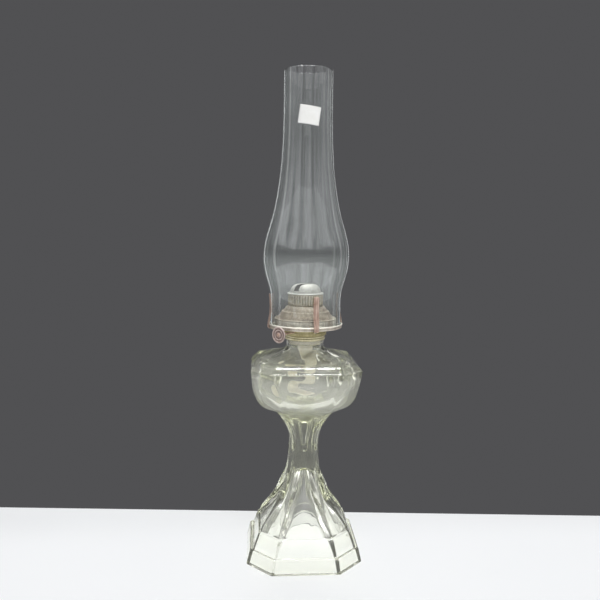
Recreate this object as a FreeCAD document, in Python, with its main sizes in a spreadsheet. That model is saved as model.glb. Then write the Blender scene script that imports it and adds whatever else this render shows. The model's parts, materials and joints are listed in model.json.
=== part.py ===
# Kerosene table lamp: a pressed-glass stand, a flat-wick prong burner and a glass chimney.
# Millimetres. +Z is up, and the origin is the centre of the foot's underside.
# The foot's flat sides face +-X and +-Y.  The burner is built looking along its wick (local +X
# points out along the feed shaft) and is then turned about Z by burner_turn.
import FreeCAD, Part
import Sketcher
import math
import os
import re

V = FreeCAD.Vector
doc = FreeCAD.newDocument("oil_lamp")

# --------------------------------------------------------------------------------------------
# Driving dimensions
# --------------------------------------------------------------------------------------------
SIZES = {
    # pressed-glass stand: foot
    "base_half": (62.6, "half width across the foot's flats"),
    "base_cut": (25.9, "corner cut along each side of the foot"),
    "plinth_height": (16.4, "height of the foot's upright edge"),
    "plinth_draft": (3.7, "how far the plinth's side leans in"),
    "skirt_step": (3.4, "ledge between the plinth and the skirt"),
    "skirt_knee_height": (36.0, "where the skirt starts to sweep in"),
    "skirt_knee_half": (47.6, "half width at the knee"),
    "skirt_sweep_height": (58.0, "middle of the sweep"),
    "skirt_sweep_half": (31.8, "half width at the sweep"),
    "skirt_neck_height": (84.0, "foot of the stem"),
    "skirt_neck_half": (20.7, "half width at the foot of the stem"),
    "stem_height": (126.0, "narrowest place of the stem"),
    "stem_half": (15.6, "half width of the stem"),
    "foot_wall": (6.0, "glass left at the foot's flat sides"),
    "skirt_wall": (5.6, "glass left in the skirt"),
    "foot_hollow_top": (97.0, "roof of the hollow foot"),
    # pressed-glass stand: font (the oil bowl)
    "cone_height": (148.0, "middle of the cone under the bowl"),
    "cone_half": (20.8, "half width at the middle of the cone"),
    "bowl_root_height": (166.0, "where the bowl swells out of the cone"),
    "bowl_root_half": (32.6, "half width where the bowl swells out"),
    "bowl_wide_height": (212.0, "widest edge of the bowl"),
    "bowl_half": (58.8, "half width at the widest edge"),
    "bowl_cut": (22.0, "corner cut at the widest edge"),
    "bevel_height": (6.9, "height of the bevel above the widest edge"),
    "bevel_width": (6.9, "how far the bevel leans in"),
    "bevel_cut": (17.0, "corner cut at the top of the bevel"),
    "shoulder_rise": (13.6, "from the bevel's top to the neck's root"),
    "neck_radius": (20.6, "outer radius of the glass neck"),
    "neck_bore": (17.5, "inner radius of the glass neck"),
    "neck_top": (244.2, "height of the glass neck's lip"),
    "font_wall": (7.0, "glass at the bowl's widest edge"),
    "font_floor": (168.5, "lowest point inside the font"),
    # collar
    "collar_radius": (22.0, "outer radius of the collar"),
    "collar_skirt": (3.2, "how far the collar hangs over the neck"),
    "collar_bore": (15.9, "inner radius of the collar's threaded tube"),
    "collar_tube": (8.2, "how far the tube reaches down into the neck"),
    "collar_brass": (0.8, "sheet thickness of the collar"),
    "cement_gap": (0.9, "cement between the neck's lip and the collar"),
    # burner body
    "burner_turn": (-132.0, "direction of the feed shaft about Z, degrees"),
    "turn_gap": (0.3, "air between the collar and the burner"),
    "thread_gap": (0.06, "radial running clearance of the screwed ferrule"),
    "brass": (0.7, "sheet thickness of the burner"),
    "ferrule_length": (9.6, "length of the screwed ferrule"),
    "cup_radius": (23.3, "outer radius of the burner cup"),
    "cup_height": (3.2, "height of the burner cup"),
    "basket_rise": (6.3, "straight part of the air basket above the cup's floor"),
    "gallery_rise": (8.3, "gallery floor's underside above the cup's floor"),
    "air_hole": (1.1, "radius of the air holes"),
    # wick, wick tube and feed
    "wick_width": (25.4, "width of the flat wick"),
    "wick_thick": (3.0, "thickness of the flat wick"),
    "tube_gap_width": (0.4, "room beside the wick in its tube"),
    "tube_gap_thick": (0.3, "room in front of the wick in its tube"),
    "tube_wall": (0.6, "sheet thickness of the wick tube"),
    "tube_drop": (9.0, "wick tube below the cup's floor"),
    "tube_rise": (45.0, "wick tube above the cup's floor"),
    "wick_show": (2.2, "wick above its tube"),
    "wick_split": (13.0, "end of the moving wick below the tube"),
    "wick_slack": (5.0, "gap to the tail, more than the wick's way down"),
    "tail_high": (19.0, "upper layer of the wick's tail above the font's floor"),
    "tail_low": (7.0, "lower layer of the wick's tail above the font's floor"),
    "tail_fold": (20.0, "how far behind the wick its tail folds back"),
    "tail_end": (12.0, "free end of the tail in front of the wick"),
    "tail_bend": (10.0, "height of the bend where the tail turns level"),
    "shaft_rise": (4.55, "feed shaft above the cup's floor"),
    "shaft_radius": (1.2, "radius of the feed shaft"),
    "shaft_gap": (0.06, "radial running clearance of the feed shaft"),
    "wheel_tip": (2.9, "tip radius of the star wheels"),
    "wheel_root": (1.9, "root radius of the star wheels"),
    "wheel_mesh": (0.1, "air between a star wheel's tip and the wick"),
    "wheel_thick": (1.6, "thickness of a star wheel"),
    "wheel_pitch": (6.2, "spacing of the star wheels"),
    "case_half": (14.6, "half length of the feed case"),
    "case_gap": (0.3, "air round the star wheels in their case"),
    "sleeve_reach": (25.0, "outer end of the shaft's sleeve"),
    "knob_reach": (50.2, "middle of the thumb wheel from the lamp's axis"),
    "knob_radius": (8.6, "radius of the thumb wheel"),
    "knob_thick": (1.8, "thickness of the thumb wheel's rim"),
    "vent_radius": (1.7, "outer radius of the vent tube"),
    "vent_wall": (0.4, "sheet thickness of the vent tube"),
    "vent_drop": (4.0, "vent tube below the cup's underside"),
    "vent_place": (9.5, "vent tube's distance from the lamp's axis"),
    "vent_rise": (7.0, "vent tube above the cup's floor"),
    # chimney, gallery and prongs
    "fitter_radius": (38.3, "outer radius of the chimney's foot"),
    "chimney_gap": (0.3, "air around the seated chimney"),
    "chimney_wall": (2.1, "glass thickness of the chimney"),
    "chimney_length": (269.3, "length of the chimney"),
    "chimney_foot": (26.0, "straight foot of the chimney"),
    "bulge_radius": (47.5, "pull of the chimney's bulge"),
    "bulge_height": (78.0, "height of the bulge above the chimney's foot"),
    "shaft_waist": (32.1, "pull of the chimney's waist"),
    "waist_height": (142.0, "height of the waist above the chimney's foot"),
    "tip_radius": (26.1, "outer radius of the chimney's mouth"),
    "rim_margin": (1.5, "gallery rim's sheet outside the chimney"),
    "rim_rise": (1.8, "gallery rim above its floor"),
    "rim_bead": (0.9, "radius of the gallery rim's rolled bead"),
    "skirt_drop": (0.7, "gallery skirt below its floor"),
    "ridge_inset": (5.0, "gallery upstand inside the chimney's foot"),
    "ridge_rise": (7.4, "gallery upstand above its floor"),
    "prong_width": (6.2, "width of a prong"),
    "prong_thick": (0.7, "thickness of a prong"),
    "prong_height": (38.0, "height of a prong"),
    "prong_flare": (1.3, "how far a prong's tip turns out"),
    "prong_heel": (2.2, "prong's foot inside its rivet's centre"),
    "prong_place": (54.5, "first prong's direction from the feed shaft, degrees"),
    "rivet_radius": (1.1, "shank radius of a prong's rivet"),
    "rivet_gap": (0.3, "air round the rivet in its prong"),
    "rivet_inset": (1.9, "rivets' circle inside the chimney's foot"),
    "rivet_head": (0.8, "thickness of a rivet's head"),
    # cone that stands over the wick tube
    "cone_gap": (0.08, "sliding clearance of the cone in the gallery"),
    "tier_radius": (26.0, "top of the first tier"),
    "tier_rise": (8.8, "height of the first tier above the ridge"),
    "band_radius": (19.1, "radius of the ribbed band"),
    "band_rise": (6.1, "height of the second tier"),
    "band_height": (12.6, "height of the ribbed band"),
    "band_slot": (0.9, "width of a slot in the band"),
    "band_lip": (0.8, "dome's lip outside the band"),
    "dome_step": (1.9, "height of the dome's lip"),
    "dome_radius": (16.4, "radius of the flame dome"),
    "dome_rise": (9.1, "height of the flame dome"),
    "slot_half": (14.4, "half length of the flame slot"),
    "slot_width": (6.6, "width of the flame slot"),
    # price label
    "label_height": (209.0, "label's lower edge above the chimney's foot"),
    "label_size": (22.0, "height of the label"),
    "label_arc": (52.0, "angle that the label covers, degrees"),
    "label_turn": (-117.0, "where the label starts, degrees about Z"),
    "label_gap": (0.7, "label's glue and the air behind it"),
    "paper": (0.2, "thickness of the label"),
}
PRONGS = 4
STAR_WHEELS = 4
STAR_TEETH = 8
BAND_SLOTS = 40
KNOB_NOTCHES = 36
# Rings of air holes: how far across the sheet each ring lies, and its number of holes.
BASKET_HOLES = [(0.3, 30), (0.72, 36)]
SCREEN_HOLES = [(0.6, 24), (0.76, 32), (0.91, 40)]
# The bowl's side from its root to its widest edge: share of the height, share of the way out.
BOWL_SWELL = [(0.1, 0.55), (0.3, 0.85), (0.62, 0.98)]
# A pressed octagon's corner cut as a share of its half width, on the skirt and on the stem.
SKIRT_CUT = 0.4
STEM_CUT = 0.42
HOLLOW_CUT = 0.55
CUT_THROUGH = 1  # mm that a cut runs past the surface it opens

sheet = doc.addObject("Spreadsheet::Sheet", "sizes")
for row, (name, (value, meaning)) in enumerate(SIZES.items(), 1):
    sheet.set(f"A{row}", name)
    sheet.set(f"B{row}", str(value))
    sheet.set(f"C{row}", meaning)
    sheet.setAlias(f"B{row}", name)
doc.recompute()

# Heights and radii that several pieces share, written as expressions on the sheet.
BEVEL_TOP = "(bowl_wide_height + bevel_height)"
COLLAR_TOP = "(neck_top + cement_gap + collar_brass)"
FLOOR = f"({COLLAR_TOP} + turn_gap + brass)"
SHAFT_Z = f"({FLOOR} + shaft_rise)"
SHAFT_Y = "(wick_thick / 2 + wheel_mesh + wheel_tip)"
TUBE_HALF = "(wick_width / 2 + tube_gap_width + tube_wall)"
TUBE_DEEP = "(wick_thick / 2 + tube_gap_thick + tube_wall)"
TUBE_TOP = f"({FLOOR} + tube_rise)"
BASKET = "(cup_radius - brass)"
GALLERY = f"({FLOOR} + gallery_rise)"
GALLERY_TOP = f"({GALLERY} + brass)"
CHIMNEY_Z = f"({GALLERY_TOP} + chimney_gap)"
RIM = "(fitter_radius + rim_margin)"
UPSTAND = "(fitter_radius - ridge_inset)"
RIDGE = f"({GALLERY_TOP} + ridge_rise)"
SEAT = f"({UPSTAND} - brass - cone_gap)"
TIER = f"({RIDGE} + tier_rise)"
BAND = f"({TIER} + band_rise)"
BAND_TOP = f"({BAND} + band_height)"
PIVOT = "(fitter_radius - rivet_inset)"
WICK_END = f"({FLOOR} - tube_drop - wick_split)"


def bound(expression):
    """The expression with each size written as a reference to its cell."""
    def cell(word):
        return "sizes." + word.group() if word.group() in SIZES else word.group()
    return re.sub(r"[a-z][a-z_]*", cell, str(expression))


def size(expression):
    """The value that an expression on the sheet has now."""
    return float(sheet.evalExpression(str(expression)))


# --------------------------------------------------------------------------------------------
# Sketches and features
# --------------------------------------------------------------------------------------------
def origin_plane(body, role):
    return next(item for item in body.Origin.OriginFeatures if item.Role == role)


def new_body(label):
    body = doc.addObject("PartDesign::Body", label)
    body.Label = label
    return body


def place_sketch(body, name, role, offset=("0", "0", "0")):
    """A sketch on one of the body's origin planes, moved by an offset in the plane's own axes."""
    sketch = body.newObject("Sketcher::SketchObject", name)
    sketch.AttachmentSupport = [(origin_plane(body, role), "")]
    sketch.MapMode = "FlatFace"
    for axis, distance in zip("xyz", offset):
        if distance != "0":
            sketch.setExpression(f"AttachmentOffset.Base.{axis}", bound(distance))
    return sketch


def pin_point(sketch, geometry, end, place):
    """Ties a point of the sketch to two size expressions, measured from the sketch's origin."""
    for kind, distance in zip(("DistanceX", "DistanceY"), place):
        number = sketch.addConstraint(
            Sketcher.Constraint(kind, -1, 1, geometry, end, size(distance)))
        sketch.setExpression(f"Constraints[{number}]", bound(distance))


def add_curve(sketch, poles):
    """A cubic spline through the sketch whose poles are all tied to the sheet."""
    points = [V(size(x), size(y), 0) for x, y in poles]
    inner = len(poles) - 4
    curve = Part.BSplineCurve()
    curve.buildFromPolesMultsKnots(points, [4] + [1] * inner + [4], list(range(inner + 2)), False, 3)
    number = sketch.addGeometry(curve)
    return number


def outline(body, name, role, corners, offset=("0", "0", "0")):
    """A closed outline.  A pair is a corner; a list of pairs is the pull of a smooth curve that
    runs from the corner before it to the corner after it."""
    sketch = place_sketch(body, name, role, offset)
    points = [item for item in corners if isinstance(item, tuple)]
    edges = []
    curves = []
    for number, item in enumerate(corners):
        if isinstance(item, list):
            continue
        following = corners[(number + 1) % len(corners)]
        if isinstance(following, list):
            end = corners[(number + 2) % len(corners)]
            poles = [item] + following + [end]
            edges.append(add_curve(sketch, poles))
            curves.append((edges[-1], poles))
        else:
            start, end = [V(size(x), size(y), 0) for x, y in (item, following)]
            edges.append(sketch.addGeometry(Part.LineSegment(start, end)))
    for number, edge in enumerate(edges):
        following = edges[(number + 1) % len(edges)]
        sketch.addConstraint(Sketcher.Constraint("Coincident", edge, 2, following, 1))
    for edge, poles in curves:
        first = len(sketch.Geometry)
        sketch.exposeInternalGeometry(edge)
        for pole in range(1, len(poles) - 1):
            pin_point(sketch, first + pole, 3, poles[pole])
    for edge, point in zip(edges, points):
        pin_point(sketch, edge, 1, point)
    return sketch


def circle(body, name, role, radius, centre=("0", "0"), offset=("0", "0", "0")):
    sketch = place_sketch(body, name, role, offset)
    middle = V(size(centre[0]), size(centre[1]), 0)
    edge = sketch.addGeometry(Part.Circle(middle, V(0, 0, 1), size(radius)))
    number = sketch.addConstraint(Sketcher.Constraint("Radius", edge, size(radius)))
    sketch.setExpression(f"Constraints[{number}]", bound(radius))
    pin_point(sketch, edge, 3, centre)
    return sketch


def octagon(body, name, height, half, cut):
    """A square with its corners cut, level, at a height."""
    inner = f"({half}) - ({cut})"
    sides = [(inner, f"-({half})"), (half, f"-({inner})"), (half, inner), (inner, half)]
    corners = [(f"-({inner})", f"-({half})")] + sides
    corners += [(f"-({inner})", half), (f"-({half})", inner), (f"-({half})", f"-({inner})")]
    return outline(body, name, "XY_Plane", corners, ("0", "0", height))


def rectangle(half_x, half_y):
    return [(f"-({half_x})", f"-({half_y})"), (half_x, f"-({half_y})"),
            (half_x, half_y), (f"-({half_x})", half_y)]


def loft(body, name, sections, cut=False, ruled=False):
    kind = "PartDesign::SubtractiveLoft" if cut else "PartDesign::AdditiveLoft"
    feature = body.newObject(kind, name)
    feature.Profile = sections[0]
    feature.Sections = sections[1:]
    feature.Ruled = ruled
    return feature


def turn(body, name, sketch, axis="V_Axis", cut=False):
    feature = body.newObject("PartDesign::Groove" if cut else "PartDesign::Revolution", name)
    feature.Profile = sketch
    feature.ReferenceAxis = (sketch, [axis])
    feature.Angle = 360
    return feature


def pad(body, name, sketch, length, middle=False):
    feature = body.newObject("PartDesign::Pad", name)
    feature.Profile = sketch
    feature.setExpression("Length", bound(length))
    feature.Midplane = middle
    return feature


def pocket(body, name, sketch, length, middle=False, back=False):
    feature = body.newObject("PartDesign::Pocket", name)
    feature.Profile = sketch
    feature.setExpression("Length", bound(length))
    feature.Midplane = middle
    feature.Reversed = back
    return feature


def ring_of(body, name, feature, sketch, count, axis="N_Axis"):
    pattern = body.newObject("PartDesign::PolarPattern", name)
    pattern.Originals = [feature]
    pattern.Axis = (sketch, [axis])
    pattern.Angle = 360
    pattern.Occurrences = count
    body.Tip = pattern
    return pattern


def with_burner(body, extra="0"):
    """Turns a piece of the burner about Z with the feed shaft."""
    body.Placement = FreeCAD.Placement(V(0, 0, 0), FreeCAD.Rotation(V(0, 0, 1), 10))
    body.setExpression("Placement.Rotation.Angle", bound(f"burner_turn + {extra}"))
    return body


# --------------------------------------------------------------------------------------------
# Glass stand: foot, stem and font in one pressed piece
# --------------------------------------------------------------------------------------------
def glass_stand():
    body = new_body("glass_stand")
    plinth_half = "(base_half - plinth_draft)"
    plinth_cut = "(base_cut - plinth_draft * 0.57)"
    loft(body, "plinth", [
        octagon(body, "plinth_foot", "0", "base_half", "base_cut"),
        octagon(body, "plinth_edge", "plinth_height", plinth_half, plinth_cut)], ruled=True)
    skirt_half = f"({plinth_half} - skirt_step)"
    loft(body, "skirt", [
        octagon(body, "skirt_foot", "plinth_height", skirt_half, f"{skirt_half} * {SKIRT_CUT}"),
        octagon(body, "skirt_knee", "skirt_knee_height", "skirt_knee_half",
                f"skirt_knee_half * {SKIRT_CUT}"),
        octagon(body, "skirt_sweep", "skirt_sweep_height", "skirt_sweep_half",
                f"skirt_sweep_half * {SKIRT_CUT}"),
        octagon(body, "skirt_neck", "skirt_neck_height", "skirt_neck_half",
                "skirt_neck_half * 0.41"),
        octagon(body, "stem_middle", "(skirt_neck_height + stem_height) / 2", "stem_half + 0.9",
                f"(stem_half + 0.9) * {STEM_CUT}"),
        octagon(body, "stem_top", "stem_height", "stem_half",
                f"stem_half * {STEM_CUT}")])
    loft(body, "cone", [
        octagon(body, "cone_foot", "stem_height", "stem_half",
                f"stem_half * {STEM_CUT}"),
        octagon(body, "cone_low", "(stem_height * 0.4 + cone_height * 0.6)", "stem_half + 1.2",
                f"(stem_half + 1.2) * {STEM_CUT}"),
        octagon(body, "cone_middle", "cone_height", "cone_half", "cone_half * 0.43"),
        octagon(body, "cone_top", "bowl_root_height", "bowl_root_half", "bowl_root_half * 0.45")])
    deep = "(bowl_wide_height - bowl_root_height)"
    sides = [octagon(body, "bowl_root", "bowl_root_height", "bowl_root_half", "bowl_root_half * 0.45")]
    for number, (up, out) in enumerate(BOWL_SWELL, 1):
        half = f"(bowl_root_half + (bowl_half - bowl_root_half) * {out})"
        share = f"(0.45 + (bowl_cut / bowl_half - 0.45) * {up})"
        sides.append(octagon(body, f"bowl_side_{number}", f"bowl_root_height + {deep} * {up}",
                             half, f"{half} * {share}"))
    sides.append(octagon(body, "bowl_edge", "bowl_wide_height", "bowl_half", "bowl_cut"))
    loft(body, "bowl", sides)
    loft(body, "bevel", [
        octagon(body, "bevel_foot", "bowl_wide_height", "bowl_half", "bowl_cut"),
        octagon(body, "bevel_top", BEVEL_TOP, "bowl_half - bevel_width", "bevel_cut")], ruled=True)
    shoulder = "(bowl_half - bevel_width - neck_radius)"
    loft(body, "shoulder", [
        octagon(body, "shoulder_foot", BEVEL_TOP, "bowl_half - bevel_width", "bevel_cut"),
        octagon(body, "shoulder_low", f"{BEVEL_TOP} + shoulder_rise * 0.36",
                f"neck_radius + {shoulder} * 0.58", f"(neck_radius + {shoulder} * 0.58) * 0.46"),
        octagon(body, "shoulder_high", f"{BEVEL_TOP} + shoulder_rise * 0.72",
                f"neck_radius + {shoulder} * 0.2", f"(neck_radius + {shoulder} * 0.2) * 0.54"),
        octagon(body, "shoulder_top", f"{BEVEL_TOP} + shoulder_rise", "neck_radius * 0.96",
                "neck_radius * 0.96 * 0.586")])
    root = f"({BEVEL_TOP} + shoulder_rise * 0.8)"
    pad(body, "neck", circle(body, "neck_ring", "XY_Plane", "neck_radius", offset=("0", "0", root)),
        f"neck_top - {root}")
    foot_hollow(body)
    font_hollow(body)
    return body


def foot_hollow(body):
    """The open underside of the foot: a regular octagon that narrows up into the stem."""
    inner = "(base_half - foot_wall)"
    levels = [("0", inner), ("plinth_height * 0.8", f"{inner} - plinth_draft"),
              ("skirt_knee_height", "skirt_knee_half - skirt_wall"),
              ("skirt_sweep_height", "skirt_sweep_half - skirt_wall"),
              ("skirt_neck_height", "skirt_neck_half - skirt_wall * 1.35"),
              ("foot_hollow_top", f"stem_half * {STEM_CUT}")]
    sections = [octagon(body, f"hollow_{number}", height, half, f"({half}) * {HOLLOW_CUT}")
                for number, (height, half) in enumerate(levels)]
    loft(body, "foot_hollow", sections, cut=True)


def font_hollow(body):
    """The oil space: round inside, with the neck's bore above it."""
    inner = "(bowl_half - font_wall)"
    top = f"(neck_top + {CUT_THROUGH})"
    corners = [("0", top), ("0", "font_floor"),
               [(f"{inner} * 0.5", "font_floor"),
                (f"{inner} * 0.86", "font_floor + 7"),
                (f"{inner} * 1.06", "font_floor + 26"),
                (f"{inner} * 1.03", "bowl_wide_height + 1"),
                (f"{inner} * 0.8", f"{BEVEL_TOP} - 1"),
                ("neck_bore + 8", f"{BEVEL_TOP} + shoulder_rise * 0.3"),
                ("neck_bore", f"{BEVEL_TOP} + shoulder_rise * 0.6")],
               ("neck_bore", f"{BEVEL_TOP} + shoulder_rise"),
               ("neck_bore", top)]
    turn(body, "font_hollow", outline(body, "font_profile", "XZ_Plane", corners), cut=True)


# --------------------------------------------------------------------------------------------
# Collar cemented on the neck
# --------------------------------------------------------------------------------------------
def collar():
    body = new_body("collar")
    under = "(neck_top + cement_gap)"
    skirt_end = "(neck_top - collar_skirt)"
    corners = [("collar_bore", f"neck_top - collar_tube"),
               ("collar_bore + collar_brass", "neck_top - collar_tube"),
               ("collar_bore + collar_brass", under),
               ("collar_radius - collar_brass", under),
               ("collar_radius - collar_brass", skirt_end),
               ("collar_radius", skirt_end),
               ("collar_radius", COLLAR_TOP),
               ("collar_bore", COLLAR_TOP)]
    turn(body, "collar_turn", outline(body, "collar_profile", "XZ_Plane", corners))
    return body


def collar_cement():
    body = new_body("collar_cement")
    tube = "(collar_bore + collar_brass)"
    skin = "(collar_radius - collar_brass)"
    under = "(neck_top + cement_gap)"
    inner_end = "(neck_top - collar_tube + 1)"
    outer_end = "(neck_top - collar_skirt + 0.4)"
    corners = [(tube, inner_end), ("neck_bore", inner_end), ("neck_bore", "neck_top"),
               ("neck_radius", "neck_top"), ("neck_radius", outer_end), (skin, outer_end),
               (skin, under), (tube, under)]
    turn(body, "cement_turn", outline(body, "cement_profile", "XZ_Plane", corners))
    return body


# --------------------------------------------------------------------------------------------
# Burner body: cup, air basket, draft screen
# --------------------------------------------------------------------------------------------
def tube_window(body, name, top, depth):
    """The oblong hole that lets the wick tube through a floor, cut downwards from a height."""
    sketch = outline(body, name + "_outline", "XY_Plane", rectangle(TUBE_HALF, TUBE_DEEP),
                     ("0", "0", top))
    return pocket(body, name, sketch, depth)


def burner_cup():
    body = new_body("burner_cup")
    ferrule = "(collar_bore - thread_gap)"
    under = f"({FLOOR} - brass)"
    corners = [("0", under), (f"{ferrule} - brass", under),
               (f"{ferrule} - brass", f"{under} - ferrule_length"),
               (ferrule, f"{under} - ferrule_length"), (ferrule, under), ("cup_radius", under),
               ("cup_radius", f"{under} + cup_height"), (BASKET, f"{under} + cup_height"),
               (BASKET, FLOOR), ("0", FLOOR)]
    turn(body, "cup_turn", outline(body, "cup_profile", "XZ_Plane", corners))
    tube_window(body, "wick_window", f"{FLOOR} + {CUT_THROUGH}", f"brass + {2 * CUT_THROUGH}")
    vent = circle(body, "vent_seat", "XY_Plane", "vent_radius", ("0", "-vent_place"),
                  ("0", "0", f"{FLOOR} + {CUT_THROUGH}"))
    pocket(body, "vent_hole", vent, f"brass + {2 * CUT_THROUGH}")
    return with_burner(body)


def air_basket():
    body = new_body("air_basket")
    inner = f"({BASKET} - brass)"
    bend = f"({FLOOR} + basket_rise - 0.4)"
    lip = f"({UPSTAND} - brass)"
    corners = [(inner, FLOOR), (BASKET, FLOOR), (BASKET, bend),
               (lip, f"{GALLERY} - brass"), (lip, GALLERY_TOP), (f"{lip} - brass", GALLERY_TOP),
               (f"{lip} - brass", GALLERY), (inner, f"{bend} + brass")]
    turn(body, "basket_turn", outline(body, "basket_profile", "XZ_Plane", corners))
    hole = circle(body, "shaft_seat", "YZ_Plane", "shaft_radius + shaft_gap + brass",
                  (SHAFT_Y, SHAFT_Z))
    pocket(body, "shaft_hole", hole, f"sleeve_reach + {CUT_THROUGH}", back=True)
    for ring, (share, count) in enumerate(BASKET_HOLES, 1):
        place = f"{BASKET} + ({lip} - {BASKET}) * {share}"
        air = circle(body, f"air_seat_{ring}", "XY_Plane", "air_hole", ("0", place),
                     ("0", "0", f"{GALLERY} + {CUT_THROUGH}"))
        ring_of(body, f"air_ring_{ring}", pocket(body, f"air_{ring}", air, "gallery_rise"), air,
                count)
    return with_burner(body)


def draft_screen():
    body = new_body("draft_screen")
    edge = f"({UPSTAND} - brass)"
    disc = circle(body, "screen_disc", "XY_Plane", edge, offset=("0", "0", GALLERY_TOP))
    pad(body, "screen", disc, "brass")
    top = f"{GALLERY_TOP} + brass + {CUT_THROUGH}"
    deep = f"brass + {2 * CUT_THROUGH}"
    tube_window(body, "tube_window", top, deep)
    for ring, (share, count) in enumerate(SCREEN_HOLES, 1):
        air = circle(body, f"screen_seat_{ring}", "XY_Plane", "air_hole",
                     ("0", f"{edge} * {share}"), ("0", "0", top))
        ring_of(body, f"screen_ring_{ring}", pocket(body, f"screen_air_{ring}", air, deep), air,
                count)
    return with_burner(body)


# --------------------------------------------------------------------------------------------
# Wick tube, wick and wick feed
# --------------------------------------------------------------------------------------------
def wick_tube():
    body = new_body("wick_tube")
    bottom = f"({FLOOR} - tube_drop)"
    length = "(tube_drop + tube_rise)"
    shell = outline(body, "tube_outside", "XY_Plane", rectangle(TUBE_HALF, TUBE_DEEP),
                    ("0", "0", bottom))
    pad(body, "tube_shell", shell, length)
    bore = outline(body, "tube_inside", "XY_Plane",
                   rectangle(f"{TUBE_HALF} - tube_wall", f"{TUBE_DEEP} - tube_wall"),
                   ("0", "0", f"{bottom} + {length} + {CUT_THROUGH}"))
    pocket(body, "tube_bore", bore, f"{length} + {2 * CUT_THROUGH}")
    for number in range(STAR_WHEELS):
        middle = f"(wheel_pitch * {number - (STAR_WHEELS - 1) / 2})"
        window = outline(body, f"wheel_window_{number + 1}", "XZ_Plane", [
            (f"{middle} - wheel_thick * 0.8", f"{SHAFT_Z} - wheel_tip"),
            (f"{middle} + wheel_thick * 0.8", f"{SHAFT_Z} - wheel_tip"),
            (f"{middle} + wheel_thick * 0.8", f"{SHAFT_Z} + wheel_tip"),
            (f"{middle} - wheel_thick * 0.8", f"{SHAFT_Z} + wheel_tip")])
        pocket(body, f"wheel_slot_{number + 1}", window, f"{TUBE_DEEP} + {CUT_THROUGH}")
    return with_burner(body)


def wick():
    body = new_body("wick")
    flat = outline(body, "wick_section", "XY_Plane", rectangle("wick_width / 2", "wick_thick / 2"),
                   ("0", "0", WICK_END))
    pad(body, "wick_strip", flat, f"{TUBE_TOP} + wick_show - {WICK_END}")
    return with_burner(body)


def wick_tail():
    """The loose end of the wick: straight down, folded back and laid on the font's floor."""
    body = new_body("wick_tail")
    half = "wick_thick / 2"
    top = f"({WICK_END} - wick_slack)"
    upper = "(font_floor + tail_high)"
    lower = "(font_floor + tail_low)"
    outer = f"(({upper} - {lower}) / 2 + {half})"
    inner = f"(({upper} - {lower}) / 2 - {half})"
    fold = "-tail_fold"
    middle = f"(({upper} + {lower}) / 2)"
    corners = [
        (f"-{half}", top), (f"-{half}", f"{upper} + tail_bend"),
        [(f"-{half}", f"{upper} + {half} + 2"), (f"-{half} - 2", f"{upper} + {half}")],
        ("-tail_bend - 1", f"{upper} + {half}"), (fold, f"{upper} + {half}"),
        [(f"{fold} - {outer}", f"{upper} + {half}"), (f"{fold} - {outer} * 1.3", middle),
         (f"{fold} - {outer}", f"{lower} - {half}")],
        (fold, f"{lower} - {half}"), ("tail_end", f"{lower} - {half}"),
        ("tail_end", f"{lower} + {half}"),
        (fold, f"{lower} + {half}"),
        [(f"{fold} - {inner}", f"{lower} + {half}"), (f"{fold} - {inner} * 1.3", middle),
         (f"{fold} - {inner}", f"{upper} - {half}")],
        (fold, f"{upper} - {half}"), ("-tail_bend + 1", f"{upper} - {half}"),
        [("1", f"{upper} - {half}"), (half, f"{upper} + 1")],
        (half, f"{upper} + tail_bend"), (half, top)]
    strip = outline(body, "tail_profile", "YZ_Plane", corners)
    pad(body, "tail_strip", strip, "wick_width", middle=True)
    return with_burner(body)


def along_shaft():
    """Sketch offset that puts the XZ plane's horizontal axis on the feed shaft's axis."""
    return ("0", SHAFT_Z, f"-{SHAFT_Y}")


def feed_case():
    body = new_body("feed_case")
    back = f"({SHAFT_Y} + wheel_tip + case_gap)"
    low = f"({SHAFT_Z} - wheel_tip - case_gap)"
    tall = "(2 * (wheel_tip + case_gap))"
    box = outline(body, "case_outside", "XY_Plane", [
        ("-case_half", TUBE_DEEP), ("case_half", TUBE_DEEP),
        ("case_half", f"{back} + brass"), ("-case_half", f"{back} + brass")],
        ("0", "0", f"{low} - brass"))
    pad(body, "case_box", box, f"{tall} + 2 * brass")
    room = outline(body, "case_inside", "XY_Plane", [
        ("-case_half + brass", f"{TUBE_DEEP} - 1"), ("case_half - brass", f"{TUBE_DEEP} - 1"),
        ("case_half - brass", back), ("-case_half + brass", back)], ("0", "0", f"{low} + {tall}"))
    pocket(body, "case_room", room, tall)
    bearing = circle(body, "bearing_seat", "YZ_Plane", "shaft_radius + shaft_gap",
                     (SHAFT_Y, SHAFT_Z))
    pocket(body, "bearings", bearing, "4 * case_half", middle=True)
    return with_burner(body)


def feed_shaft():
    body = new_body("feed_shaft")
    start = "(-case_half - 1)"
    end = "(knob_reach + knob_thick / 2 + 0.9)"
    head = "(knob_reach + knob_thick / 2)"
    corners = [(start, "0"), (end, "0"), (end, "shaft_radius + 0.3"), (head, "shaft_radius + 0.9"),
               (head, "shaft_radius"), (start, "shaft_radius")]
    turn(body, "shaft_turn", outline(body, "shaft_profile", "XZ_Plane", corners, along_shaft()),
         axis="H_Axis")
    return with_burner(body)


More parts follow.
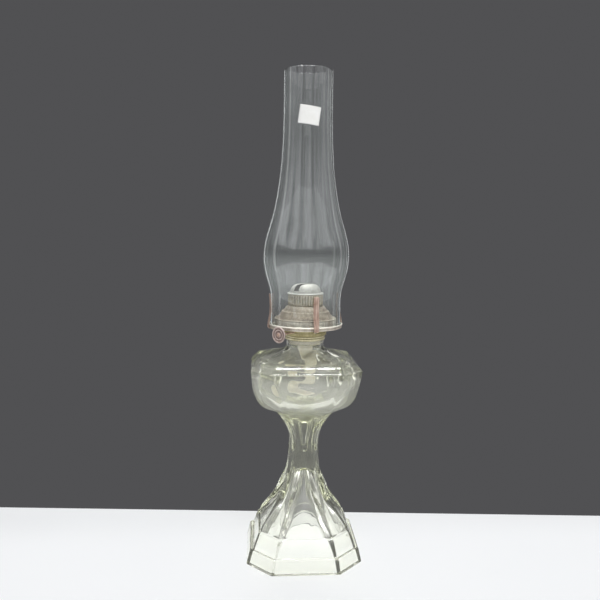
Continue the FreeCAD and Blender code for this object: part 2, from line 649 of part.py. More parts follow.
def feed_wheels():
    body = new_body("feed_wheels")
    body.AllowCompound = True
    star = []
    for tooth in range(2 * STAR_TEETH):
        angle = math.pi * tooth / STAR_TEETH
        reach = "wheel_tip" if tooth % 2 == 0 else "wheel_root"
        star.append((f"{reach} * {math.cos(angle):.5f}", f"{reach} * {math.sin(angle):.5f}"))
    row = f"(wheel_pitch * {(STAR_WHEELS - 1) / 2})"
    profile = outline(body, "star", "YZ_Plane", star,
                      (SHAFT_Y, SHAFT_Z, f"-{row} - wheel_thick / 2"))
    first = pad(body, "star_wheel", profile, "wheel_thick")
    rowed = body.newObject("PartDesign::LinearPattern", "star_row")
    rowed.Originals = [first]
    rowed.Direction = (profile, ["N_Axis"])
    rowed.setExpression("Length", bound(f"2 * {row}"))
    rowed.Occurrences = STAR_WHEELS
    body.Tip = rowed
    bore = circle(body, "star_bore", "YZ_Plane", "shaft_radius", (SHAFT_Y, SHAFT_Z))
    pocket(body, "star_bores", bore, "4 * case_half", middle=True)
    return with_burner(body)


def shaft_sleeve():
    body = new_body("shaft_sleeve")
    start = "(case_half + 0.4)"
    bore = "(shaft_radius + shaft_gap)"
    corners = [(start, bore), ("sleeve_reach", bore), ("sleeve_reach", f"{bore} + brass"),
               (start, f"{bore} + brass")]
    turn(body, "sleeve_turn", outline(body, "sleeve_profile", "XZ_Plane", corners, along_shaft()),
         axis="H_Axis")
    return with_burner(body)


def thumb_wheel():
    """A pressed disc with a raised rim, a ring and a hub, and a finely notched edge."""
    body = new_body("thumb_wheel")
    back = "(knob_reach - knob_thick / 2)"
    face = "(knob_reach + knob_thick / 2)"
    web = "(knob_reach + knob_thick / 2 - 0.8)"
    corners = [(back, "shaft_radius"), (face, "shaft_radius"), (face, "knob_radius * 0.26"),
               (web, "knob_radius * 0.34"), (web, "knob_radius * 0.5"),
               (f"{web} + 0.5", "knob_radius * 0.56"), (f"{web} + 0.5", "knob_radius * 0.64"),
               (web, "knob_radius * 0.7"), (web, "knob_radius * 0.78"),
               (face, "knob_radius * 0.84"), (face, "knob_radius"), (back, "knob_radius")]
    profile = outline(body, "knob_profile", "XZ_Plane", corners, along_shaft())
    turn(body, "knob_turn", profile, axis="H_Axis")
    notch = circle(body, "notch_seat", "YZ_Plane", "knob_radius * 0.045",
                   ("0", "knob_radius"), (SHAFT_Y, SHAFT_Z, "0"))
    ring_of(body, "notches", pocket(body, "notch", notch, "2 * knob_reach", middle=True), notch,
            KNOB_NOTCHES)
    return with_burner(body)


def vent_tube():
    body = new_body("vent_tube")
    low = f"({FLOOR} - brass - vent_drop)"
    ring = circle(body, "vent_ring", "XY_Plane", "vent_radius", ("0", "-vent_place"),
                  ("0", "0", low))
    pad(body, "vent_shell", ring, f"{FLOOR} + vent_rise - {low}")
    bore = circle(body, "vent_inside", "XY_Plane", "vent_radius - vent_wall", ("0", "-vent_place"),
                  ("0", "0", f"{FLOOR} + vent_rise + {CUT_THROUGH}"))
    pocket(body, "vent_bore", bore, f"{FLOOR} + vent_rise - {low} + {2 * CUT_THROUGH}")
    return with_burner(body)


# --------------------------------------------------------------------------------------------
# Gallery, prongs and their rivets
# --------------------------------------------------------------------------------------------
def gallery():
    """The ring that carries the chimney: rolled rim, skirt, floor and inner upstand."""
    body = new_body("gallery")
    bead = f"({GALLERY_TOP} + rim_rise)"
    corners = [(f"{UPSTAND} - brass", GALLERY), (f"{RIM} - brass", GALLERY),
               (f"{RIM} - brass", f"{GALLERY} - skirt_drop"), (RIM, f"{GALLERY} - skirt_drop"),
               (RIM, f"{bead} - rim_bead"),
               [(f"{RIM} + rim_bead", f"{bead} - rim_bead"),
                (f"{RIM} + rim_bead * 1.2", f"{bead} + rim_bead"),
                (f"{RIM} - brass / 2", f"{bead} + rim_bead")],
               (f"{RIM} - brass", f"{bead}"), (f"{RIM} - brass", GALLERY_TOP),
               (UPSTAND, GALLERY_TOP), (UPSTAND, RIDGE), (f"{UPSTAND} - brass", RIDGE)]
    turn(body, "gallery_turn", outline(body, "gallery_profile", "XZ_Plane", corners))
    seat = circle(body, "rivet_seat", "XY_Plane", "rivet_radius", ("0", PIVOT),
                  ("0", "0", f"{GALLERY_TOP} + {CUT_THROUGH}"))
    hole = pocket(body, "rivet_hole", seat, f"brass + {2 * CUT_THROUGH}")
    ring_of(body, "rivet_holes", hole, seat, PRONGS)
    return with_burner(body, "prong_place - 90")


def prong_rivets():
    """Rivets under the gallery's floor, one in each prong's foot."""
    body = new_body("prong_rivets")
    body.AllowCompound = True
    top = GALLERY_TOP
    neck = f"({GALLERY} - skirt_drop - 2 * rivet_gap - prong_thick)"
    end = f"({neck} - rivet_head)"
    wide = "(rivet_radius * 1.75)"
    corners = [("0", top), ("0", end), (f"{wide} * 0.6", end), (wide, neck),
               ("rivet_radius", neck), ("rivet_radius", top)]
    profile = outline(body, "rivet_profile", "XZ_Plane", corners, (PIVOT, "0", "0"))
    first = turn(body, "rivet", profile)
    hub = circle(body, "rivet_hub", "XY_Plane", "rivet_radius")
    ring_of(body, "rivets", first, hub, PRONGS)
    return with_burner(body, "prong_place")


def prong(number):
    """A spring strip: riveted foot, bend round the gallery's rim, and a leaf that leans in on
    the chimney's foot and turns out again at its tip."""
    body = new_body(f"prong_{number + 1}")
    low = f"({GALLERY} - skirt_drop - rivet_gap - prong_thick)"
    out = f"({RIM} + rim_bead + rivet_gap)"
    rest = "(fitter_radius + chimney_gap)"
    tip = f"({low} + prong_height)"
    waist = f"({low} + prong_height * 0.62)"
    hip = f"({GALLERY_TOP} + rim_rise + rim_bead)"
    corners = [
        (f"{PIVOT} - prong_heel", f"{low}"),
        (f"{out} - 0.6", f"{low}"),
        [(f"{out} + prong_thick", f"{low}"), (f"{out} + prong_thick + 0.2", f"{low} + 1.5"),
         (f"{out} + prong_thick + 0.1", hip),
         (f"{rest} + prong_thick + 0.5", f"{hip} + 9"),
         (f"{rest} + prong_thick", f"{waist} - 5")],
        (f"{rest} + prong_thick", waist),
        (f"{rest} + prong_thick + prong_flare", tip), (f"{rest} + prong_flare", tip), (rest, waist),
        [(rest, f"{waist} - 5"), (f"{rest} + 0.5", f"{hip} + 9"), (f"{out} + 0.1", hip),
         (f"{out} + 0.2", f"{low} + 3"), (f"{out}", f"{low} + prong_thick")],
        (f"{out} - 0.9", f"{low} + prong_thick"), (f"{PIVOT} - prong_heel", f"{low} + prong_thick")]
    profile = outline(body, f"prong_profile_{number + 1}", "XZ_Plane", corners)
    pad(body, f"prong_strip_{number + 1}", profile, "prong_width", middle=True)
    hole = circle(body, f"prong_eye_{number + 1}", "XY_Plane", "rivet_radius + rivet_gap",
                  (PIVOT, "0"), ("0", "0", f"{low} + prong_thick + 0.5"))
    pocket(body, f"prong_hole_{number + 1}", hole, "prong_thick + 1")
    return with_burner(body, f"prong_place + {number * 360 // PRONGS}")


# --------------------------------------------------------------------------------------------
# Cone over the wick tube: stepped base, ribbed band and slotted dome
# --------------------------------------------------------------------------------------------
def cone_base():
    body = new_body("cone_base")
    seat_low = f"({GALLERY_TOP} + 1)"
    flange = f"({RIDGE} + 0.1)"
    slope = f"(tier_radius + ({UPSTAND} - tier_radius) * 0.5)"
    corners = [
        (SEAT, seat_low), (SEAT, flange), (f"{UPSTAND} + 0.4", flange),
        (f"{UPSTAND} + 0.4", f"{flange} + 1.3"), (slope, f"{flange} + 2"),
        [(f"{slope} - 1.4", f"{flange} + 5"), (f"tier_radius + 0.3", f"{TIER} - 2.5")],
        ("tier_radius", TIER), ("tier_radius - 0.5", f"{TIER} + 0.5"),
        [("tier_radius - 2.6", f"{TIER} + 3.6"), ("band_radius + 1.6", f"{BAND} - 1")],
        ("band_radius", BAND), ("band_radius - brass", BAND),
        ("band_radius - brass", f"{BAND} - 0.7"),
        [("band_radius + 1.2", f"{BAND} - 1.8"), ("tier_radius - 3.4", f"{TIER} + 2.9")],
        ("tier_radius - 1.4", f"{TIER} + 0.3"), ("tier_radius - brass", f"{TIER} - 0.5"),
        [(f"tier_radius - 0.3", f"{TIER} - 3"), (f"{slope} - 2.2", f"{flange} + 4.6")],
        (f"{slope} - brass", f"{flange} + 1.2"), (f"{SEAT} - brass", f"{flange} + 0.5"),
        (f"{SEAT} - brass", seat_low)]
    turn(body, "cone_turn", outline(body, "cone_profile", "XZ_Plane", corners))
    return with_burner(body)


def cone_band():
    body = new_body("cone_band")
    corners = [("band_radius", BAND), ("band_radius", BAND_TOP),
               ("band_radius - brass", BAND_TOP), ("band_radius - brass", BAND)]
    turn(body, "band_turn", outline(body, "band_profile", "XZ_Plane", corners))
    window = outline(body, "band_window", "XZ_Plane", [
        ("-band_slot / 2", f"{BAND} + band_height * 0.18"),
        ("band_slot / 2", f"{BAND} + band_height * 0.18"),
        ("band_slot / 2", f"{BAND} + band_height * 0.72"),
        ("-band_slot / 2", f"{BAND} + band_height * 0.72")])
    first = pocket(body, "slot_in_band", window, f"band_radius + {CUT_THROUGH}")
    ring_of(body, "slots_in_band", first, window, BAND_SLOTS, axis="V_Axis")
    return with_burner(body)


def cone_dome():
    body = new_body("cone_dome")
    lip = "(band_radius + band_lip)"
    foot = f"({BAND_TOP} + dome_step)"
    top = f"({foot} + dome_rise)"
    corners = [
        ("band_radius - brass", BAND_TOP), (lip, BAND_TOP), (lip, f"{BAND_TOP} + 1"),
        ("dome_radius + 0.6", f"{foot} - 0.2"),
        [("dome_radius", f"{foot} + dome_rise * 0.5"), ("dome_radius * 0.6", top)],
        ("0", top), ("0", f"{top} - brass"),
        [("dome_radius * 0.58", f"{top} - brass"),
         ("dome_radius - brass", f"{foot} + dome_rise * 0.42")],
        ("dome_radius - 0.2", f"{foot} - 0.9"), ("band_radius - brass", f"{BAND_TOP} + 0.5")]
    turn(body, "dome_turn", outline(body, "dome_profile", "XZ_Plane", corners))
    slot = outline(body, "flame_slot_outline", "XY_Plane",
                   rectangle("slot_half", "slot_width / 2"), ("0", "0", f"{top} + {CUT_THROUGH}"))
    pocket(body, "flame_slot", slot, f"dome_rise + {CUT_THROUGH} + 0.5")
    return with_burner(body)


# --------------------------------------------------------------------------------------------
# Chimney and its label
# --------------------------------------------------------------------------------------------
def chimney_pull(inset):
    """Poles of the chimney's side above its straight foot, moved in by an inset."""
    swell = "(bulge_radius - fitter_radius)"
    drop = "(bulge_radius - shaft_waist)"
    places = [("fitter_radius", "chimney_foot + 8"),
              (f"fitter_radius + {swell} * 0.22", "bulge_height * 0.56"),
              (f"fitter_radius + {swell} * 0.77", "bulge_height * 0.74"),
              ("bulge_radius", "bulge_height"),
              (f"bulge_radius - {drop} * 0.2", "bulge_height * 0.72 + waist_height * 0.28"),
              (f"bulge_radius - {drop} * 0.65", "bulge_height * 0.4 + waist_height * 0.6"),
              ("shaft_waist", "waist_height"),
              ("(shaft_waist * 0.32 + tip_radius * 0.68)",
               "waist_height * 0.75 + chimney_length * 0.25"),
              ("tip_radius", "waist_height * 0.45 + chimney_length * 0.55")]
    return [(f"{radius} - {inset}", f"{CHIMNEY_Z} + {rise}") for radius, rise in places]


def chimney():
    body = new_body("chimney")
    foot_top = f"({CHIMNEY_Z} + chimney_foot)"
    mouth = f"({CHIMNEY_Z} + chimney_length)"
    corners = [("fitter_radius", CHIMNEY_Z), ("fitter_radius", foot_top), chimney_pull("0"),
               ("tip_radius", mouth), ("tip_radius - chimney_wall", mouth),
               chimney_pull("chimney_wall")[::-1], ("fitter_radius - chimney_wall", foot_top),
               ("fitter_radius - chimney_wall", CHIMNEY_Z)]
    turn(body, "chimney_turn", outline(body, "chimney_profile", "XZ_Plane", corners))
    return body


def price_label():
    """A blank paper sticker on the chimney's shaft."""
    body = new_body("price_label")
    low = f"({CHIMNEY_Z} + label_height)"
    inner = "(tip_radius + label_gap)"
    corners = [(inner, low), (f"{inner} + paper", low), (f"{inner} + paper", f"{low} + label_size"),
               (inner, f"{low} + label_size")]
    arc = turn(body, "label_turn", outline(body, "label_profile", "XZ_Plane", corners))
    arc.setExpression("Angle", bound("label_arc"))
    body.Placement = FreeCAD.Placement(V(0, 0, 0), FreeCAD.Rotation(V(0, 0, 1), 10))
    body.setExpression("Placement.Rotation.Angle", bound("label_turn"))
    return body


# --------------------------------------------------------------------------------------------
# Build, check and write
# --------------------------------------------------------------------------------------------
pieces = [glass_stand(), collar(), collar_cement(), burner_cup(), air_basket(), draft_screen(),
          wick_tube(), feed_case(), feed_shaft(), feed_wheels(), shaft_sleeve(), thumb_wheel(),
          vent_tube(), gallery(), prong_rivets()]
pieces += [prong(number) for number in range(PRONGS)]
pieces += [cone_base(), cone_band(), cone_dome(), wick(), wick_tail(), chimney(), price_label()]
doc.recompute()

for item in doc.Objects:
    if "Invalid" in item.State or "Error" in item.State:
        raise RuntimeError(f"{item.Label} failed: {item.State}")
for sketch in doc.findObjects("Sketcher::SketchObject"):
    if not sketch.FullyConstrained:
        raise RuntimeError(f"{sketch.Label} isn't fully constrained")
for piece in pieces:
    if piece.Shape.isNull() or not piece.Shape.isValid():
        raise RuntimeError(f"{piece.Label} has no valid shape")

os.makedirs("parts", exist_ok=True)
for piece in pieces:
    piece.Shape.exportStep(f"parts/{piece.Label}.step")
    box = piece.Shape.BoundBox
    print(f"{piece.Label:14s} solids {len(piece.Shape.Solids)}  volume {piece.Shape.Volume:10.1f}  "
          f"z {box.ZMin:7.2f} to {box.ZMax:7.2f}  x {box.XMin:7.2f} to {box.XMax:7.2f}")
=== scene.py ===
# %% [markdown]
# # An oil lamp, dressed piece by piece
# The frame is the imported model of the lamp: every part already stands in its place, in metres,
# with +Z up.  This lesson gives it its looks.  Thin sheet metal, pressed glass, blown glass,
# cotton and paper are each made in the way that suits them, and each cell prints what it made.

# %% Load the frame
import bmesh
import bpy
import json
import math
from mathutils import Matrix, Vector


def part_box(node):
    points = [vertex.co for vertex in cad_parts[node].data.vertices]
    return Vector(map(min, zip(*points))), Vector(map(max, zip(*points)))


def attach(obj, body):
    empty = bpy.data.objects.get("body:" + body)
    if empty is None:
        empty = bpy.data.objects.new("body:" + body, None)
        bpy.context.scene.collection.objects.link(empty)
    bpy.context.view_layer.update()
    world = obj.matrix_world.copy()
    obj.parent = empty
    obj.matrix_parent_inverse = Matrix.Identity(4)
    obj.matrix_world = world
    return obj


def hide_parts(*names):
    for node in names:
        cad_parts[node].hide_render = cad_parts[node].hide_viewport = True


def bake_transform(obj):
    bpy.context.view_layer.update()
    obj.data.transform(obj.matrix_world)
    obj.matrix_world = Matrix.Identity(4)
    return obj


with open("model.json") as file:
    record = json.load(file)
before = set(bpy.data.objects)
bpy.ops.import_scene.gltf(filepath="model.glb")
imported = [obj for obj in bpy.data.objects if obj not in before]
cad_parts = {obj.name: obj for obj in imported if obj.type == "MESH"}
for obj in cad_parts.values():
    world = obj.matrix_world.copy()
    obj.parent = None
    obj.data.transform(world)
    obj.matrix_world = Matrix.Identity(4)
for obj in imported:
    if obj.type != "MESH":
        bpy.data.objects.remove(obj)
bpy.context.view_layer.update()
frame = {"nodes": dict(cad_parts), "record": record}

# %% [markdown]
# ## Where things are
# The burner was screwed home at some angle, so its wick doesn't face the viewer.  The feed
# joint's axis runs along the wick's width, and it tells how far the burner is turned.  Heights
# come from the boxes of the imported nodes.  Profiles below are written in millimetres, because
# that is how a maker thinks of them, and MM turns them into metres.

# %% Measures taken from the frame
MM = 0.001
joints = {joint["name"]: joint for joint in frame["record"]["behaviour"]["joints"]}
feed_axis = Vector(joints["wick_feed"]["axis"])
SHAFT_WAY = -feed_axis.normalized()
BURNER_TURN = math.atan2(SHAFT_WAY.y, SHAFT_WAY.x)
SHAFT_PLACE = Vector(joints["wick_feed"]["pos_m"])


def span(node):
    """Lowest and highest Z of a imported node, in millimetres."""
    low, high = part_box(node)
    return low[2] / MM, high[2] / MM


COLLAR_LOW, COLLAR_TOP = span("collar")
CUP_LOW = span("burner_cup")[0]
SCREEN_LOW = span("draft_screen")[0]
CONE_LOW, CONE_TOP = span("cone_base")
BAND_LOW, BAND_TOP = span("cone_band")
DOME_LOW, DOME_TOP = span("cone_dome")
CHIMNEY_LOW, CHIMNEY_TOP = span("chimney")
WICK_LOW, WICK_TOP = span("wick")
TAIL_LOW, TAIL_TOP = span("wick_tail")
LABEL_LOW, LABEL_TOP = span("price_label")
GALLERY_LOW, RIDGE_TOP = span("gallery")
print("burner turned", round(math.degrees(BURNER_TURN), 1), "degrees; chimney from",
      round(CHIMNEY_LOW, 1), "to", round(CHIMNEY_TOP, 1), "mm")

# %% [markdown]
# ## The camera
# The lamp is seen from a little above its gallery, from about 70 cm, so the camera looks slightly
# down.  The foot stands square to the axes, so it is the camera that goes a few degrees round
# from the front.

# %% Camera
TIP = math.radians(6.45)  # down from level
ROUND = math.radians(-4.04)  # round the lamp, from the front
HEADING = math.radians(0.12)  # left of the lamp's axis
ROLL = math.radians(0.76)
CAMERA_PLACE = (-0.00446, -0.70015, 0.3625)
camera_data = bpy.data.cameras.new("camera")
camera_data.sensor_width = 36.0
camera_data.lens = 38.71
camera = bpy.data.objects.new("camera", camera_data)
bpy.context.collection.objects.link(camera)
place = Matrix.Rotation(ROUND, 4, "Z") @ Matrix.Translation(CAMERA_PLACE)
aim = (Matrix.Rotation(HEADING, 4, "Z") @ Matrix.Rotation(math.pi / 2 - TIP, 4, "X")
       @ Matrix.Rotation(ROLL, 4, "Z"))
camera.matrix_world = place @ aim
bpy.context.scene.camera = camera
print("camera at", [round(v, 3) for v in camera.matrix_world.translation])

# %% [markdown]
# ## Writing shader maths as Python
# A material is a small machine of nodes.  Wiring each Math node by hand hides the idea, so a Wire
# wraps an output socket and turns +, -, * and / into Math nodes.  Any other node comes from
# Finish.node, which sets its options first and then its sockets.

# %% Shader helpers
class Wire:
    """An output socket that can be used in arithmetic."""

    def __init__(self, finish, socket):
        self.finish, self.socket = finish, socket

    def least(self, other):
        """The smaller of the two values."""
        return self.math("MINIMUM", self, other)

    def math(self, operation, first, second=0.0):
        made = self.finish.node("ShaderNodeMath", {"operation": operation}, {0: first, 1: second})
        return Wire(self.finish, made.outputs[0])

    def __add__(self, other):
        return self.math("ADD", self, other)

    def __sub__(self, other):
        return self.math("SUBTRACT", self, other)

    def __mul__(self, other):
        return self.math("MULTIPLY", self, other)

    def __truediv__(self, other):
        return self.math("DIVIDE", self, other)

    def __radd__(self, other):
        return self.math("ADD", other, self)

    def __rsub__(self, other):
        return self.math("SUBTRACT", other, self)

    def __rmul__(self, other):
        return self.math("MULTIPLY", other, self)


class Finish:
    """A material, or a world, and the nodes in it."""

    def __init__(self, name, owner=None):
        self.owner = owner or bpy.data.materials.new(name)
        self.owner.use_nodes = True
        self.tree = self.owner.node_tree
        self.tree.nodes.clear()

    def node(self, kind, settings=None, sockets=None):
        """A node of some type, with its settings and then the values or links of its sockets."""
        made = self.tree.nodes.new(kind)
        for key, value in (settings or {}).items():
            if key == "stops":
                ramp = made.color_ramp.elements
                for number, (where, colour) in enumerate(value):
                    stop = ramp[number] if number < 2 else ramp.new(where)
                    stop.position, stop.color = where, colour
            else:
                setattr(made, key, value)
        for key, value in (sockets or {}).items():
            if isinstance(value, Wire):
                self.tree.links.new(value.socket, made.inputs[key])
            elif hasattr(value, "outputs"):
                self.tree.links.new(value.outputs[0], made.inputs[key])
            else:
                made.inputs[key].default_value = value
        return made

    def wire(self, kind, output, settings=None, sockets=None):
        """One output of a new node."""
        return Wire(self, self.node(kind, settings, sockets).outputs[output])

    def here(self, stretch=(1, 1, 1)):
        """Object coordinates, stretched along X, Y and Z."""
        where = self.wire("ShaderNodeTexCoord", "Object")
        return self.wire("ShaderNodeMapping", 0, None, {"Vector": where, "Scale": stretch})

    def along(self, axis):
        """One Object coordinate, in metres."""
        return self.wire("ShaderNodeSeparateXYZ", axis, None, {0: self.here()})

    def smooth(self, value, start, end, low=0.0, high=1.0):
        """low before start, high past end, and a smooth step between."""
        return self.wire("ShaderNodeMapRange", 0, {"interpolation_type": "SMOOTHSTEP"},
                         {0: value, 1: start, 2: end, 3: low, 4: high})

    def cloud(self, scale, detail=4.0, stretch=(1, 1, 1), rough=0.55):
        """Soft noise between 0 and 1; scale is in patches to the metre."""
        return self.wire("ShaderNodeTexNoise", 0, None,
                         {"Vector": self.here(stretch), "Scale": scale, "Detail": detail,
                          "Roughness": rough})

    def tones(self, factor, stops):
        """A colour ramp from 0 to 1."""
        full = [(where, (*colour, 1.0)) for where, colour in stops]
        return self.wire("ShaderNodeValToRGB", 0, {"stops": full}, {"Fac": factor})

    def blended(self, factor, first, second):
        """A mix of two colours."""
        return self.wire("ShaderNodeMix", 2, {"data_type": "RGBA"},
                         {0: factor, 6: first, 7: second})

    def bump(self, height, depth, strength=1.0):
        return self.wire("ShaderNodeBump", 0, None,
                         {"Height": height, "Distance": depth, "Strength": strength})

    def surface(self, shader, volume=None):
        """Joins the shaders to the output, and gives the finished material."""
        sockets = {"Surface": shader}
        if volume:
            sockets["Volume"] = volume
        self.node("ShaderNodeOutputMaterial", None, sockets)
        return self.owner


print("shader helpers ready")

# %% [markdown]
# ## Pressed glass and blown glass
# The stand is one thick casting.  Its colour isn't on the surface: a little iron and manganese in
# the glass swallow blue light, so thick places look yellow-green and thin places look clear.  That
# is an absorbing volume inside a clear refracting skin.  The mould leaves the skin faintly wavy,
# which is what breaks up the reflections, so a very shallow bump moves the normal.
#
# Old glass is never quite clean: a smeary share of the skin is dull white instead, and it is
# thickest between two heights.  Shadow rays are sent straight through, because clear glass would
# otherwise cast a solid shadow.

# %% Glass finishes
def glass(name, body_colour, density, wave_scale, wave_depth, shade, film, film_at):
    """Refracting skin over an absorbing volume.  film holds the dull share elsewhere and between
    the two heights in film_at.  Shadow rays pass straight through, tinted by shade."""
    finish = Finish(name)
    wave = finish.cloud(wave_scale, 2.0)
    fine = finish.cloud(wave_scale * 6, 2.0)
    skin = finish.node("ShaderNodeBsdfPrincipled", None, {
        "Base Color": finish.tones(finish.cloud(30.0), [(0.3, (0.985, 0.99, 0.975)),
                                                       (0.7, (1.0, 1.0, 0.995))]),
        "Roughness": fine * 0.02 + 0.004, "IOR": 1.5, "Transmission Weight": 1.0,
        "Normal": finish.bump(wave + fine * 0.02, wave_depth)})
    clear = finish.node("ShaderNodeBsdfTransparent", None, {"Color": (*shade, 1.0)})
    dust = finish.node("ShaderNodeBsdfDiffuse", None, {"Color": (0.84, 0.84, 0.82, 1.0)})
    smear = finish.cloud(38.0, 5.0, (1.0, 1.0, 0.5))
    height = finish.along("Z")
    low, high = film_at
    rise = finish.smooth(height, low - 0.008, low + 0.012)
    fall = finish.smooth(height, high - 0.006, high + 0.004)
    thin, thick = film
    dulled = finish.node("ShaderNodeMixShader", None, {
        0: (thin + (thick - thin) * (rise * (1.0 - fall))) * (0.5 + smear), 1: skin, 2: dust})
    shadow = finish.wire("ShaderNodeLightPath", "Is Shadow Ray")
    both = finish.node("ShaderNodeMixShader", None, {0: shadow, 1: dulled, 2: clear})
    inside = finish.node("ShaderNodeVolumeAbsorption", None,
                         {"Color": (*body_colour, 1.0), "Density": density})
    return finish.surface(both, inside)


stand_glass = glass("stand_glass", body_colour=(0.66, 0.69, 0.24), density=12.0, wave_scale=45.0,
                    wave_depth=0.0005, shade=(0.97, 0.975, 0.96), film=(0.035, 0.145),
                    film_at=(CUP_LOW * MM - 0.086, CUP_LOW * MM - 0.030))
chimney_glass = glass("chimney_glass", body_colour=(0.25, 0.70, 0.68), density=18.0,
                      wave_scale=22.0, wave_depth=0.0002, shade=(0.98, 0.985, 0.985),
                      film=(0.006, 0.035),
                      film_at=(CHIMNEY_LOW * MM + 0.02, CHIMNEY_LOW * MM + 0.075))
print("glass finishes", stand_glass.name, chimney_glass.name)

# %% [markdown]
# ## Old brass and copper
# The burner is thin brass that has dulled for decades.  Three things show: a slow change of tone
# from handling, fine vertical streaks from wiping, and dark specks where it is corroded.  Each is
# a noise of its own size, and they drive the colour, the gloss and a shallow bump together.
# Two more values come from the mesh: hollows turn darker, rust-coloured and duller, partly dirt
# and partly painted shade, and proud edges turn lighter, partly wear and partly a painted
# highlight.

# %% Metal finishes
SPECK, RUST = 0.5, 0.35


def metal(name, dark, middle, pale, dullness=0.46):
    """Aged metal in three tones; dullness is its roughness where it is clean."""
    finish = Finish(name)
    # Painted shade and highlight, partly dirt and wear: hollows darken and proud edges lighten.
    dirt_and_painted_shade = finish.wire("ShaderNodeAttribute", 2, {"attribute_name": "hollow"})
    rubbed_and_painted_highlight = finish.wire("ShaderNodeAttribute", 2, {"attribute_name": "wear_and_painted_highlight"})
    tone = finish.cloud(70.0, 6.0)
    streak = finish.cloud(520.0, 3.0, (1.0, 1.0, 0.14))
    speckle = finish.cloud(900.0, 5.0, rough=0.7)
    blend = tone * 0.62 + streak * 0.38 + rubbed_and_painted_highlight * 0.35 - dirt_and_painted_shade * 0.12
    colour = finish.tones(blend, [(0.34, dark), (0.50, middle), (0.70, pale)])
    spots = finish.tones(speckle, [(0.60, (0.0, 0.0, 0.0)), (0.74, (SPECK, SPECK, SPECK))])
    rust = tuple(RUST * v for v in dark)
    spotted = finish.blended(spots, colour, (*rust, 1.0))
    # Painted shade, partly dirt: hollows take on the dark rust colour.
    coat = finish.blended(dirt_and_painted_shade * (0.55 + 0.45 * speckle), spotted, (*rust, 1.0))
    skin = finish.node("ShaderNodeBsdfPrincipled", None, {
        "Base Color": coat, "Metallic": 0.82,
        "Roughness": dullness + 0.25 * speckle + 0.2 * dirt_and_painted_shade - 0.16 * streak,
        "Normal": finish.bump(speckle * 0.6 + streak * 0.4, 0.00012, 0.6)})
    return finish.surface(skin)


gallery_brass = metal("gallery_brass", (0.30, 0.245, 0.19), (0.62, 0.56, 0.48),
                      (0.86, 0.81, 0.73), dullness=0.5)
tier_brass = metal("tier_brass", (0.18, 0.13, 0.10), (0.36, 0.295, 0.235), (0.56, 0.49, 0.41),
                   dullness=0.66)
band_brass = metal("band_brass", (0.17, 0.13, 0.07), (0.34, 0.28, 0.18), (0.54, 0.48, 0.37))
dome_brass = metal("dome_brass", (0.30, 0.285, 0.255), (0.43, 0.41, 0.375), (0.56, 0.54, 0.50),
                   dullness=0.6)
cup_brass = metal("cup_brass", (0.28, 0.24, 0.12), (0.54, 0.48, 0.27), (0.74, 0.69, 0.46))
collar_brass = metal("collar_brass", (0.42, 0.375, 0.22), (0.70, 0.64, 0.42), (0.90, 0.85, 0.64))
copper = metal("copper", (0.26, 0.16, 0.12), (0.52, 0.37, 0.30), (0.74, 0.60, 0.51))
wheel_copper = metal("wheel_copper", (0.20, 0.13, 0.11), (0.38, 0.29, 0.26), (0.60, 0.50, 0.46))
print("metals", [m.name for m in (gallery_brass, tier_brass, band_brass, dome_brass, cup_brass,
                                  collar_brass, copper, wheel_copper)])

# %% [markdown]
# ## Making and handing over a piece
# Every piece below ends in the same way: its bmesh becomes an object at the origin, shaded
# smooth, with a finish, riding on a body of the frame when it is given one.  Modifiers give sheet
# metal its thickness and its rounded edges, so the profile itself stays a single thin line.

# %% Piece helpers
def mark_hollows_and_edges(bm, reach):
    """Stores how hollow or how proud the surface is at each vertex: hollows get dirt and painted
    shade, and proud edges get wear and a painted highlight.
    Neighbours that rise above a vertex mean a hollow, and ones that fall away mean an edge."""
    # The first layer drives dirt and painted shade, the second wear and a painted highlight.
    hollow = bm.verts.layers.float.new("hollow")
    wear_and_painted_highlight = bm.verts.layers.float.new("wear_and_painted_highlight")
    bm.normal_update()
    for vertex in bm.verts:
        rise = 0.0
        for edge in vertex.link_edges:
            way = edge.other_vert(vertex).co - vertex.co
            if way.length > 1e-7:
                rise += way.normalized().dot(vertex.normal) / len(vertex.link_edges)
        vertex[hollow] = min(max(rise * reach, 0.0), 1.0)
        vertex[wear_and_painted_highlight] = min(max(-rise * reach, 0.0), 1.0)


def made(name, bm, body, slot, finish, replaces=(), turn=False, dirt_wear_and_painted_light=0.0):
    """Turns a bmesh into a finished piece that rides on a body when it is given one.  turn lines
    it up with the burner, and the last argument says how strongly its hollows get dirt and painted
    shade and its edges get wear and a painted highlight."""
    if dirt_wear_and_painted_light:
        mark_hollows_and_edges(bm, dirt_wear_and_painted_light)
    if turn:
        bmesh.ops.rotate(bm, verts=bm.verts, cent=(0, 0, 0),
                         matrix=Matrix.Rotation(BURNER_TURN, 3, "Z"))
    mesh = bpy.data.meshes.new(name)
    bm.to_mesh(mesh)
    bm.free()
    mesh.shade_smooth()
    piece = bpy.data.objects.new(name, mesh)
    bpy.context.collection.objects.link(piece)
    mesh.materials.append(finish)
    if body:
        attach(piece, body)
    if replaces:
        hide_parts(*replaces)
    print("made", name, "with", len(mesh.polygons), "faces")
    return piece


def thicken(piece, thickness, offset=-1.0):
    """Gives a sheet its thickness: inwards, or to both sides with an offset of 0."""
    wall = piece.modifiers.new("wall", "SOLIDIFY")
    wall.thickness, wall.offset, wall.use_even_offset = thickness * MM, offset, True
    wall.use_quality_normals = True


def soften(piece, width):
    """Rounds every bend sharper than 28 degrees."""
    edge = piece.modifiers.new("edges", "BEVEL")
    edge.width, edge.segments, edge.limit_method = width * MM, 2, "ANGLE"
    edge.angle_limit, edge.harden_normals = math.radians(28), False


def subdivide(piece):
    """Smooths a piece with one level of subdivision."""
    rounder = piece.modifiers.new("round", "SUBSURF")
    rounder.levels = rounder.render_levels = 1


